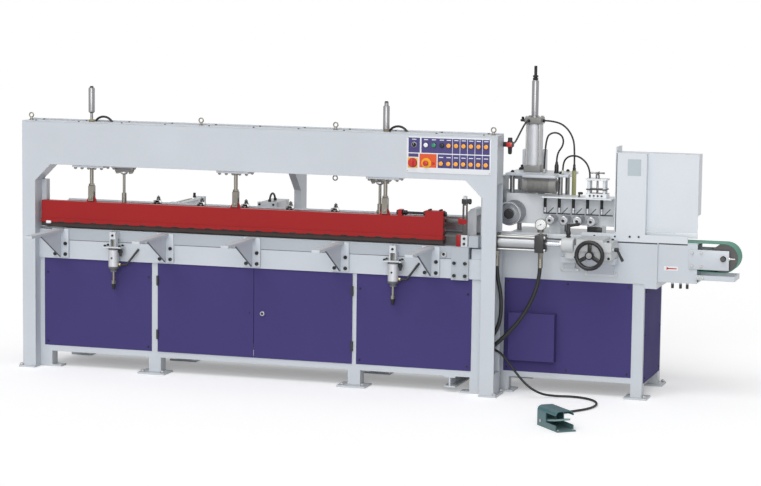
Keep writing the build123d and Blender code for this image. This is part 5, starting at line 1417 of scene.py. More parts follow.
    def link(self) -> None:
        """Dark skin of the slotted link with its clamp and knobs, and the red block at its foot."""
        skin = bench.box(about(self.link_x, 31), (-281.6, -268.4), (960, 1165.4), 2)
        slot = bench.box(about(self.link_x, 11.4), (-300, -250), (1020, 1138))
        bench.show("link_plate", Finish.DARK_STEEL, [bench.cut(skin, slot)])
        clamp = bench.box((1308, 1346), (-288, -262), (1149, 1178), 3)
        knob = bench.turned(
            X, (1346, self.link_y, self.clamp_z), ((-1, 20), (4, 20), (5, 34), (16, 34), (19, 28)))
        screw = bench.socket_bolt(Y, (1322, -288, self.clamp_z), -8, 18)
        pin = bench.turned(Z, (self.link_x, self.link_y, 1174), ((0, 26), (8, 22), (12, 16), (22, 9)))
        bench.show("link_clamp", Finish.BLACK_IRON, [clamp, knob, screw, pin])
        bench.show("link_stop", Finish.RED, [bench.box((1280, 1306.5), (-296, -250), (891, 962), 3)])
        bolts = [bench.socket_bolt(Y, place, -7, 16) for place in grid(self.link_x, -287, (908, 940))]
        bench.show("link_bolts", Finish.BOLT, bolts)

    def stop_cylinders(self) -> None:
        """Aluminium bodies with dark caps, fittings and elbows of the two stop cylinders."""
        barrels = []
        caps = []
        brass = []
        elbows = []
        bolts = []
        tips = []
        y = self.stop_y
        for x in self.stops:
            place = (x, y, 0)
            barrels.append(bench.rod(Z, place, (668, 776), 64.8))
            for span, width in (((656.6, 670), 68), ((774, 787.2), 68), ((636.6, 657), 42)):
                caps.append(bench.rod(Z, place, span, width, 2))
            brass.append(bench.nut(X, (x + 32, y, 682), (0, 16), 18))
            elbows.append(bench.rod(X, (x + 32, y, 682), (14, 58), 15, 2))
            elbows.append(bench.strut((x + 84, y, 680), (x + 150, -293.5, 780), 13))
            elbows.append(bench.rod(X, (x + 32, y, 764), (0, 26), 20, 2))
            elbows.append(bench.rod(Z, (x + 46, y, 764), (-30, 14), 16, 2))
            bolts += [
                bench.nut(Z, corner, (0, 9), 15, 8) for corner in grid(about(x, 98), about(y, 48), 795)]
            bolts.append(bench.socket_bolt(Y, (x, y - 20, 865), -6, 15))
            bolts.append(bench.socket_bolt(Y, (x, y - 32, 724), -3, 12))
            tips.append(bench.turned(Z, place, ((569, 26), (558, 26), (540, 21), (524.4, 17.4)), 24))
        bench.show("stop_tips", Finish.BOLT, tips, "stops")
        bench.show("stop_barrels", Finish.SATIN, barrels)
        bench.show("stop_caps", Finish.IRON, caps)
        bench.show("stop_fittings", Finish.BRASS, brass)
        bench.show("stop_elbows", Finish.BLACK, elbows)
        bench.show("stop_bolts", Finish.BOLT, bolts)


@dataclass
class Cabinets:
    """Screws, hinges, lock and foot bolts of the two cabinets."""

    press_front: float = -278
    press_columns: Row = (-1398, -712, 676, 1356)
    press_rows: Span = (164, 604)
    infeed_front: float = -97
    infeed_columns: Row = (1556, 1925, 2296)
    infeed_rows: Span = (148, 674)
    end_x: float = 2392
    end_columns: Span = (-38, 434)
    end_rows: Row = (120, 380, 640)
    hinge_y: float = -285.5
    hinge_rows: Span = (248, 587)
    lock: Point = (49.5, -281, 417.5)
    latch: Point = (-39, -281.4, 417.5)
    foot_top: float = 12

    def build(self) -> None:
        """Model the cabinets' fittings."""
        self.screws()
        self.doors()
        self.feet()

    def screws(self) -> None:
        """Black screws at the corners of the fixed sheets."""
        places = grid(self.press_columns, self.press_front, self.press_rows)
        places += grid(self.infeed_columns, self.infeed_front, self.infeed_rows)
        bench.row("sheet_screws", Finish.BOLT, bench.socket_bolt(Y, ORIGIN, -4, 13), places)
        ends = grid(self.end_x, self.end_columns, self.end_rows)
        bench.row("end_sheet_screws", Finish.BOLT, bench.socket_bolt(X, ORIGIN, 4, 13), ends)

    def doors(self) -> None:
        """Dark hinge barrels, the lock on the right door and the latch screw on the left one."""
        for body, x in (("door_left", -649), ("door_right", 628)):
            places = grid(x, self.hinge_y, self.hinge_rows)
            hinge = bench.rod(Z, ORIGIN, (-31, 31), 15.2, 2, 20)
            bench.row(body + "_hinges", Finish.BLACK_IRON, hinge, places, body)
        ring = bench.turned(Y, self.lock, ((0, 30), (-13, 30), (-15.6, 26), (-15.6, 19), (-14.6, 18)))
        bench.show("lock_ring", Finish.STEEL, [ring], "door_right")
        slot = bench.box(about(self.lock[0], 3.2), (-297.4, -294), about(self.lock[2], 13), 0.5)
        core = bench.rod(Y, self.lock, (-15.8, -13), 17)
        bench.show("lock_core", Finish.BOLT, [core, slot], "door_right")
        screw = bench.turned(Y, self.latch, ((0, 9), (-2, 9), (-3, 6)), 16)
        bench.show("latch_screw", Finish.BOLT, [screw], "door_left")

    def feet(self) -> None:
        """Levelling bolts on the foot plates."""
        places = grid([end for x in (-669.5, 641) for end in about(x, 132)], (-318, 318), self.foot_top)
        places += grid((1482, 2406), (-112, 510), self.foot_top)
        bench.row("levelling_bolts", Finish.ZINC, bench.nut(Z, ORIGIN, (0, 11), 22, 14), places)


@dataclass
class ControlPanel:
    """White plate with its coloured fields, lamps, buttons and switches."""

    x: Span = (981, 1502)
    z: Span = (1332, 1548)
    back: float = -350
    face: float = -354
    upper: float = 1499
    lower: float = 1391
    upper_field: Span = (1452, 1541)
    lower_field: Span = (1364, 1446)
    upper_bars: float = 1531
    lower_bars: float = 1428
    pitch: float = 46
    first_lamp: float = 1242
    first_button: float = 1196
    field_thickness: float = 0.8
    field_width: float = 43
    field_start: float = 993
    selector_x: float = 1028
    white_x: float = 1101
    start_x: float = 1150
    black_x: float = 1199
    switch_x: float = 1020
    stop_x: float = 1104
    spare_x: float = 1148
    hole: float = 27.2
    stop_hole: float = 25
    bore: Span = (-12, 12)
    lamp_rise: float = 10
    button_rise: float = 11

    @property
    def lamps(self) -> list[float]:
        """Places of the six lamps."""
        return [self.first_lamp + self.pitch * step for step in range(6)]

    @property
    def buttons(self) -> list[float]:
        """Places of the seven buttons."""
        return [self.first_button + self.pitch * step for step in range(7)]

    def build(self) -> None:
        """Model the plate, its fields and everything on it."""
        self.plate()
        self.fields()
        self.lamp_row()
        self.push_buttons()
        self.selector()
        self.switch()
        self.stop()

    def field(self, x: Span, z: Span) -> Piece:
        """Thin coloured field on the plate's face."""
        return bench.box(x, (self.face - self.field_thickness, self.face + 0.2), z, 0.3, 1)

    def holes(self, piece: Piece) -> Piece:
        """Bore the holes that the buttons and the emergency stop move in.

        Args:
            piece: The plate or field to bore.

        Returns:
            The piece.
        """
        places = grid(self.buttons, self.face, self.lower)
        places += grid((self.start_x, self.black_x), self.face, self.upper)
        tools = bench.at(bench.rod(Y, ORIGIN, self.bore, self.hole, 0.2), places)
        stop = bench.rod(Y, (self.stop_x, self.face, self.lower), self.bore, self.stop_hole, 0.2)
        return bench.cut(piece, bench.join([tools, stop]))

    def plate(self) -> None:
        """Plate with rounded edges, bored for the buttons."""
        plate = self.holes(bench.box(self.x, (self.face, self.back), self.z, 1.2, 3))
        bench.show("panel_plate", Finish.WHITE, [plate], replaces=["control_panel"])

    def fields(self) -> None:
        """Blue fields, the orange one round the emergency stop, plain white bars and the corner screws."""
        shared = self.lamps[0] + self.field_width / 2
        spans = [(self.field_start, 1063), (1073, shared)]
        spans += [about(x, self.field_width) for x in self.lamps[1:]]
        fields = [self.field(span, self.upper_field) for span in spans]
        spans = [(self.buttons[0] - self.field_width / 2, shared)]
        spans += [about(x, self.field_width) for x in self.buttons[2:]]
        fields += [self.field(span, self.lower_field) for span in spans]
        fields.append(self.field((self.field_start, 1055), (1426, 1446)))
        bench.show("panel_fields", Finish.FIELD, [self.holes(bench.join(fields))])
        bench.show("stop_field", Finish.ORANGE, [self.holes(self.field((1062, 1168), self.lower_field))])
        bar = bench.box((-13, 13), (-1.1, -0.7), (-2.5, 2.5), 0.1, 1)
        singles = (self.white_x, self.start_x, self.black_x, self.selector_x)
        places = grid([*self.lamps, *singles], self.face, self.upper_bars)
        bench.row("panel_bars", Finish.WHITE, bar, places + grid(self.buttons, self.face, self.lower_bars))
        corners = grid((self.x[0] + 8, self.x[1] - 8), self.face, (self.z[0] + 9, self.z[1] - 4.5))
        bench.row("panel_screws", Finish.ZINC, bench.socket_bolt(Y, ORIGIN, -2.6, 8), corners)

    def collars(self, name: str, places: Sequence[Point]) -> None:
        """Black collars round the lamps or buttons.

        Args:
            name: Name of the piece.
            places: Where the collars sit.
        """
        collar = bench.turned(Y, ORIGIN, ((0, 31), (-4, 31), (-5.6, 29.4), (-5.6, 27.4), (-3, 27)))
        ring = bench.cut(collar, bench.rod(Y, ORIGIN, self.bore, self.hole, 0.2))
        bench.row(name, Finish.GLOSS, ring, places)

    def cap(self, place: Point, rise: float) -> Piece:
        """Round cap with a stepped rim and a crowned face, standing out by its rise."""
        steps = ((-1, 26.6), (-rise + 2.6, 26.6), (-rise + 1.2, 25.4), (-rise + 0.5, 23), (-rise, 14))
        return bench.turned(Y, place, steps)

    def lamp_row(self) -> None:
        """Six amber lamps and the white one."""
        places = grid(self.lamps, self.face, self.upper)
        white = (self.white_x, self.face, self.upper)
        self.collars("lamp_collars", places + [white])
        caps = bench.at(self.cap(ORIGIN, self.lamp_rise), places)
        bench.show("lamp_caps", Finish.AMBER, [caps])
        bench.show("white_lamp", Finish.LAMP_WHITE, [self.cap(white, self.lamp_rise)])

    def push_buttons(self) -> None:
        """Seven amber buttons, the green one and the black one, each on its own body."""
        places = grid(self.buttons, self.face, self.lower)
        start, black = grid((self.start_x, self.black_x), self.face, self.upper)
        self.collars("button_collars", places + [start, black])
        rows = [
            (f"key_cap_{number}", Finish.AMBER, place, f"key_{number}", f"button_{number}", "amber")
            for number, place in enumerate(places, 1)]
        rows.append(("start_cap", Finish.GREEN, start, "start_key", "start_button", "green"))
        rows.append(("black_cap", Finish.GLOSS, black, "black_key", "black_button", "black_plastic"))
        for name, finish, place, body, node, slot in rows:
            bench.show(name, finish, [self.cap(place, self.button_rise)], body, [node])

    def selector(self) -> None:
        """Selector with a bright collar, a black grip and a white line."""
        place = (self.selector_x, self.face, self.upper)
        collar = bench.turned(Y, place, ((0, 34), (-4, 34), (-6, 31), (-6, 29.4), (-5, 29)))
        bench.show("selector_collar", Finish.STEEL, [collar])
        hub = bench.turned(Y, place, ((-2, 27.4), (-8, 27.4), (-10, 25)))
        grip = bench.box(
            about(self.selector_x, 9), (self.face - 20, self.face - 8), about(self.upper, 26), 2.4, 3)
        bench.show(
            "selector_grip", Finish.GLOSS, [hub, grip], "selector_knob", ["selector"])
        depth = (self.face - 20.5, self.face - 19.6)
        line = bench.box(about(self.selector_x, 1.6), depth, (self.upper + 2, self.upper + 11), 0.2, 1)
        # Painted light: the line glows faintly, though it is no lamp.
        bench.show("selector_line", Finish.LAMP_WHITE, [line], "selector_knob")

    def switch(self) -> None:
        """Red main switch on its yellow plate."""
        plate = bench.box(about(self.switch_x, 60), (self.face - 3, self.face), about(self.lower, 60), 1)
        bench.show("switch_plate", Finish.YELLOW, [plate])
        place = (self.switch_x, self.face, self.lower)
        rim = bench.turned(Y, place, ((-2, 57), (-4, 57), (-5, 55)))
        bench.show("switch_disc", Finish.BLACK, [rim])
        disc = bench.turned(Y, place, ((-4, 53), (-12, 53), (-14, 50)))
        bar = bench.box(
            about(self.switch_x, 13), (self.face - 30, self.face - 12), about(self.lower, 42), 3.4, 3)
        bench.show(
            "switch_grip", Finish.RED_CAP, [disc, bar], "switch_knob", ["main_switch"])

    def stop(self) -> None:
        """Emergency stop on its yellow ring, and the red plug beside it."""
        place = (self.stop_x, self.face, self.lower)
        ring = bench.turned(Y, place, ((0, 60), (-2, 60), (-3, 58)), 48)
        bench.show("stop_ring", Finish.YELLOW, [self.holes(ring)])
        steps = ((-2, 24), (-13, 24), (-14, 30), (-17, 33), (-22, 33), (-25, 30), (-27, 24), (-28, 11))
        head = bench.turned(Y, place, steps, 40)
        bench.show("stop_head", Finish.RED_CAP, [head], "stop_key", ["emergency_stop"])
        place = (self.spare_x, self.face, self.lower)
        plug = bench.turned(Y, place, ((0, 17), (-4, 17), (-7, 14), (-8, 8)), 24)
        bench.show("spare_plug", Finish.RED_CAP, [plug])


@dataclass
class Infeed:
    """Front strip of the infeed table, a dark line of painted shadow in the gap under it and the bolts of
    the console's feet.
    """

    casing_front: float = -100
    casing_shadow_line: Span = (1506, 2462)
    conveyor_front: float = -85
    conveyor_shadow_line: Span = (2468, 2640)
    shadow_line_depth: float = 1.4
    foot_front: float = -108
    table: Span = (1504, 1999)
    strip_y: Span = (-88, -76)
    strip_z: Span = (945, 972)
    shadow_line_z: Span = (937.5, 944.6)

    def build(self) -> None:
        """Model the infeed's fittings."""
        bench.show("table_strip", Finish.PALE, [bench.box(self.table, self.strip_y, self.strip_z, 1.5)])
        pairs = ((self.casing_shadow_line, self.casing_front), (self.conveyor_shadow_line, self.conveyor_front))
        # Dark strips along the gap under the rail, on the casing and on the conveyor: painted shadow.
        shadow_lines = [
            bench.box(span, about(front, self.shadow_line_depth), self.shadow_line_z, 0.3, 1) for span, front in pairs]
        bench.show("rail_seams", Finish.BLACK_IRON, shadow_lines)
        places = grid((1889, 1985), self.foot_front, 763) + grid((2037, 2218), self.foot_front, 744)
        bench.row("console_bolts", Finish.ZINC, bench.nut(Y, ORIGIN, (0, -9), 15, 8), places)


@dataclass
class Ram:
    """Hydraulic cylinder with its caps, tie rods, gauge and ports."""

    y: float = -275
    z: float = 931
    left_cap: Span = (1516, 1541)
    right_cap: Span = (1768, 1822)
    side: float = 104
    bore: float = 85
    neck: float = 80
    tie_gap: float = 76
    ports: Span = (1528.5, 1795)
    gauge: Point = (1795, -275, 1045)
    gauge_foot: float = 983
    ticks: range = range(-135, 136, 27)
    pointer_turn: float = -118
    sleeve_ribs: int = 4
    rib_pitch: float = 13

    def build(self) -> None:
        """Model the cylinder, its gauge and the hose ends."""
        self.body()
        self.dial()
        self.hose_ends()

    def body(self) -> None:
        """Barrel, black caps with a rear stub and a front gland, and tie rods with nuts."""
        place = (0, self.y, self.z)
        start, end = self.left_cap[1], self.right_cap[0]
        steps = (
            (start - 2, self.neck), (start + 4, self.neck), (start + 4, self.bore), (end - 4, self.bore),
            (end - 4, self.neck), (end + 2, self.neck))
        barrel = bench.turned(X, place, steps, 48)
        bench.show("ram_barrel", Finish.ALUMINIUM, [barrel], replaces=["ram_cylinder"])
        square = (about(self.y, self.side), about(self.z, self.side))
        caps = [bench.box(span, *square, 4, 3) for span in (self.left_cap, self.right_cap)]
        caps.append(bench.turned(X, place, ((1470, 52), (1474, 60), (1512, 60), (1516.5, 66))))
        caps.append(bench.turned(X, place, ((1821.5, 62), (1827, 62), (1829.5, 56), (1829.5, 40))))
        bench.show("ram_caps", Finish.BLACK_IRON, caps)
        left, right = self.left_cap[0], self.right_cap[1]
        tie = bench.rod(X, ORIGIN, (left - 8, right + 10), 12, 1.2, 18)
        nuts = [bench.nut(X, ORIGIN, span, 18) for span in ((left, left - 6), (right, right + 8))]
        corners = grid(0, about(self.y, self.tie_gap), about(self.z, self.tie_gap))
        bench.row("ram_ties", Finish.ZINC, bench.join([tie] + nuts), corners)

    def dial(self) -> None:
        """Pressure gauge with ticks and a pointer, on its stem."""
        x, y, z = self.gauge
        stem = bench.turned(Z, (x, y, self.gauge_foot), ((-1, 20), (8, 20), (8, 12), (34, 12)))
        steps = ((14, 62), (11, 68), (-10, 68), (-10, 70), (-14, 70), (-14.6, 64), (-12, 62))
        bench.show("gauge_case", Finish.ROD_STEEL, [stem, bench.turned(Y, self.gauge, steps, 48)])
        face = bench.turned(Y, self.gauge, ((-10, 62), (-12.4, 62), (-12.6, 61)), 48)
        bench.show("gauge_face", Finish.DIAL, [face])
        tick = bench.box(about(x, 1.2), (y - 13.1, y - 12.5), (z + 21, z + 27))
        ticks = bench.around(tick, Y, self.gauge, self.ticks)
        pointer = bench.box(about(x, 1.8), (y - 13.6, y - 12.9), (z - 8, z + 22), 0.2, 1)
        pointer = bench.turn(pointer, Y, self.pointer_turn, self.gauge)
        hub = bench.turned(Y, self.gauge, ((-12.5, 7), (-14, 7), (-14.4, 5)), 20)
        bench.show("gauge_marks", Finish.BOLT, [ticks, pointer, hub])

    def hose_ends(self) -> None:
        """Hexagon adapters and crimped steel sleeves under the caps."""
        hexes = [bench.nut(Z, ORIGIN, span, across) for span, across in (((0, -14), 30), ((-15, -32), 27))]
        steps = [(-32, 24), (-34, 30)]
        for rib in range(self.sleeve_ribs):
            start = -40 - rib * self.rib_pitch
            steps += [(start, 30), (start - 2, 28.4), (start - 5, 28.4), (start - 7, 30)]
        sleeve = bench.turned(Z, ORIGIN, steps + [(-92, 30), (-94, 27)], 24)
        places = grid(self.ports, self.y, self.z - self.side / 2)
        bench.row("port_adapters", Finish.ROD_STEEL, bench.join(hexes), places)
        bench.row("hose_sleeves", Finish.ROD_STEEL, sleeve, places)


@dataclass
class Carriage:
    """What the ram moves: rod, clamp casting, saddle, cross slide fittings, handwheel and levers."""

    body: str = "ram_carriage"
    y: float = -275
    z: float = 931
    stud_x: float = 1962
    saddle_front: float = -300
    slide_top: float = 958
    wheel: Point = (2109, -359, 883)
    rim_radius: float = 77.5
    rim_wire: float = 25
    spokes: Row = (-90, 30, 150)
    left_lever: Point = (1962, -275, 989.5)
    left_elbow: float = 54
    left_tilt: float = -12
    right_lever: Point = (2242.5, -285, 915)
    right_knee: float = 16
    right_tilt: float = 152

    def build(self) -> None:
        """Model the carriage and everything on it."""
        self.casting()
        self.slide()
        self.handwheel()
        self.levers()

    def casting(self) -> None:
        """Chromed rod with its nut, round clamp, neck and saddle, and their dark fittings."""
        place = (0, self.y, self.z)
        rod = bench.turned(X, place, ((1688, 22), (1690, 26), (1926, 26)))
        bench.show("ram_rod", Finish.CHROME, [rod], self.body)
        clamp = bench.turned(X, place, ((1925, 84), (1929, 92), (1996, 92), (2000, 84)), 48)
        neck = bench.box((1947, 2019), (-286, -264), (850, 931), 3)
        saddle = bench.box((1997, 2228), (self.saddle_front, -115), (850, 900), 4, 3)
        bench.show(
            "carriage_casting", Finish.IVORY, [clamp, neck, saddle], self.body, ["carriage"])
        stud = bench.turned(Z, (self.stud_x, self.y, 975), ((-2, 30), (7, 30), (9, 24), (14, 20)))
        places = grid((2012, 2212), self.saddle_front, 862)
        bolts = [bench.socket_bolt(Y, corner, -8, 15) for corner in places]
        bench.show("carriage_fittings", Finish.BOLT, [stud] + bolts, self.body)
        bench.show("rod_nut", Finish.ZINC, [bench.nut(X, place, (1912, 1925), 46)], self.body)

    def slide(self) -> None:
        """Cap screws on the cross slide."""
        screw = bench.socket_bolt(Z, ORIGIN, 8, 16)
        bench.row(
            "slide_bolts", Finish.BOLT, screw, grid((2045, 2205), (-295, -160), self.slide_top), "slide")

    def handwheel(self) -> None:
        """Black rim, hub and three spokes, with a steel disc on the hub and a bright shaft."""
        x, y, z = self.wheel
        rim = bench.ring(Y, self.wheel, self.rim_radius, self.rim_wire, (64, 16))
        hub = bench.turned(Y, self.wheel, ((17, 40), (13, 50), (-12, 50), (-17, 44)))
        spoke = bench.box((x + 12, x + 72), about(y, 13), about(z, 24), 5, 3)
        spokes = bench.around(spoke, Y, self.wheel, self.spokes)
        bench.show("wheel_rim", Finish.GLOSS, [rim, hub, spokes], "wheel", ["handwheel"])
        disc = bench.turned(Y, self.wheel, ((-16, 35), (-18, 35), (-19, 33), (-19, 12), (-22, 11)))
        bench.show("wheel_shaft", Finish.STEEL, [bench.rod(Y, self.wheel, (16, 179), 20, 1)], "wheel")
        bench.show("wheel_disc", Finish.TUBE_STEEL, [disc], "wheel")

    def levers(self) -> None:
        """Two black clamp levers, each with a hub and a tapered arm."""
        x, y, z = self.left_lever
        steps = ((0, 24), (4, 28), (18, 28), (26, 21), (62, 21), (66, 16))
        stem = bench.turned(Z, self.left_lever, steps)
        elbow = (x, y, z + self.left_elbow)
        steps = ((-9, 14), (-4, 19), (34, 17), (58, 21), (66, 19), (69, 12))
        arm = bench.turn(bench.turned(X, elbow, steps, 20), Y, self.left_tilt, elbow)
        bench.show(
            "left_lever_arm", Finish.BLACK, [stem, arm], "lever_left", ["clamp_lever_left"])
        x, y, z = self.right_lever
        hub = bench.turned(X, self.right_lever, ((0, 22), (4, 25), (20, 25), (26, 19)))
        knee = (x + self.right_knee, y, z)
        arm = bench.turned(Z, knee, ((2, 16), (40, 15), (62, 19), (72, 18), (76, 12)), 20)
        arm = bench.turn(arm, Y, self.right_tilt, knee)
        bench.show(
            "right_lever_arm", Finish.BLACK, [hub, arm], "lever_right", ["clamp_lever_right"])


@dataclass
class FeedHead:
    """Rollers, plungers, vice and star handle of the feed head."""

    plungers: range = range(1751, 2100, 87)
    plunger_y: float = 10
    release: Point = (16, -2, 1083)
    release_tilt: float = 44
    rollers: range = range(1793, 2046, 84)
    roller_z: float = 1048
    roller_end: float = -51
    main: Point = (1545, 0, 1078)
    star: Point = (2065, 35, 1337)
    star_turns: Row = (0, 90, 180, 270)
    vice_top: float = 1304
    vice_front: float = -10
    thread_start: float = 1215.5
    thread_pitch: float = 2
    thread_rows: int = 44
    knob: Point = (1957, 20, 1190)
    knob_rise: float = 22

    def build(self) -> None:
        """Model the feed head's pieces."""
        self.springs()
        self.rolling()
        self.height_screw()
        self.vice()

    def springs(self) -> None:
        """Spring plungers: black bushes over bright sleeves, with dark straps and slanting release rods."""
        places = grid(self.plungers, self.plunger_y, 0)
        bush = bench.turned(Z, ORIGIN, ((1120, 14), (1122, 19), (1178, 19), (1182, 22)), 24)
        bench.row("plunger_bushes", Finish.BOLT, bush, places)
        steps = ((1088, 17), (1090, 21), (1108, 21), (1110, 24), (1119, 24), (1122, 19))
        bench.row("plunger_sleeves", Finish.STEEL, bench.turned(Z, ORIGIN, steps, 24), places)
        strap = bench.box((-9, 70), (-4, 4), (1081, 1088), 1)
        rod = bench.rod(Z, self.release, (0, 54), 5, 0.8, 14)
        rod = bench.turn(rod, Y, self.release_tilt, self.release)
        bench.row("plunger_rods", Finish.BOLT, bench.join([strap, rod]), places)

    def rolling(self) -> None:
        """Small rollers, each on its own body, and the large knurled roller."""
        steps = ((-52, 14), (-50, 20), (-50, 48), (-47, 56), (62, 56), (66, 48), (66, 14), (86, 14))
        for number, x in enumerate(self.rollers, 1):
            body = f"small_roller_{number}"
            tyre = bench.turned(Y, (x, 0, self.roller_z), steps, 40)
            bench.show(body + "_tyre", Finish.STEEL_Y, [tyre], body, [f"feed_roller_{number}"])
            bolt = bench.socket_bolt(Y, (x, self.roller_end, self.roller_z), -6, 18)
            bench.show(body + "_bolt", Finish.BOLT, [bolt], body)
        steps = ((-58, 130), (-56, 144), (76, 144), (80, 136), (80, 40), (130, 40))
        drum = bench.turned(Y, self.main, steps, 72)
        bench.show("main_roller_drum", Finish.KNURL, [drum], "main_roller", ["main_feed_roller"])
        steps = (
            (-57, 134), (-60, 134), (-62, 130), (-62, 118), (-60.5, 116), (-60.5, 84), (-62, 82), (-62, 50))
        face = bench.turned(Y, self.main, steps, 64)
        bench.show("main_roller_face", Finish.STEEL_Y, [face], "main_roller")
        hub = bench.turned(Y, self.main, ((-61, 62), (-66, 62), (-68, 58)))
        cap = bench.nut(Y, self.main, (-67, -84), 48)
        bench.show("main_roller_hub", Finish.BLACK_IRON, [hub, cap], "main_roller")

    def height_screw(self) -> None:
        """Threaded screw with its star handle."""
        x, y, high = self.star
        steps = [
            (self.thread_start + row * self.thread_pitch, 14.2 if row % 2 else 12.6)
            for row in range(self.thread_rows)]
        steps += [(self.vice_top, 14), (high + 4, 14)]
        screw = bench.turned(Z, (x, y, 0), steps, 18)
        bench.show("star_screw", Finish.STEEL, [screw], "star", ["height_handwheel"])
        hub = bench.turned(Z, (x, y, self.vice_top), ((0.6, 26), (16, 26), (24, 20)))
        boss = bench.turned(Z, self.star, ((-9, 18), (-7, 24), (4, 24), (6, 18)))
        arm = bench.turned(X, self.star, ((4, 11), (28, 9), (32, 13), (40, 13), (43, 8)), 20)
        arms = bench.around(arm, Z, self.star, self.star_turns)
        bench.show("star_arms", Finish.TUBE_STEEL, [hub, boss, arms], "star")

    def vice(self) -> None:
        """Dark plate round the height screw with the screws below it, a clamp knob and the dark shoe."""
        x, y, _ = self.star
        plate = bench.box((2003, 2127), (-8, 78), (1236, 1243), 1)
        hole = bench.rod(Z, (x, y, 1230), (0, 20), 16)
        bench.show("vice_plate", Finish.BLACK_IRON, [bench.cut(plate, hole)])
        places = grid([x + step for step in (-36, -12, 12, 36)], self.vice_front, 1202)
        bench.row("vice_screws", Finish.BOLT, bench.socket_bolt(Y, ORIGIN, -5, 11), places)
        x, y, z = self.knob
        stem = bench.turned(Z, self.knob, ((0, 16), (3, 16), (4, 10), (22, 10), (24, 8)), 20)
        steps = ((-7, 10), (-4, 15), (16, 17), (22, 12))
        grip = bench.turned(X, (x, y, z + self.knob_rise), steps, 20)
        bench.show("shelf_knob", Finish.BLACK, [stem, grip])
        bench.show("head_shoe", Finish.BLACK_IRON, [bench.box((1997, 2088), (80, 90.4), (946, 1004), 2)])


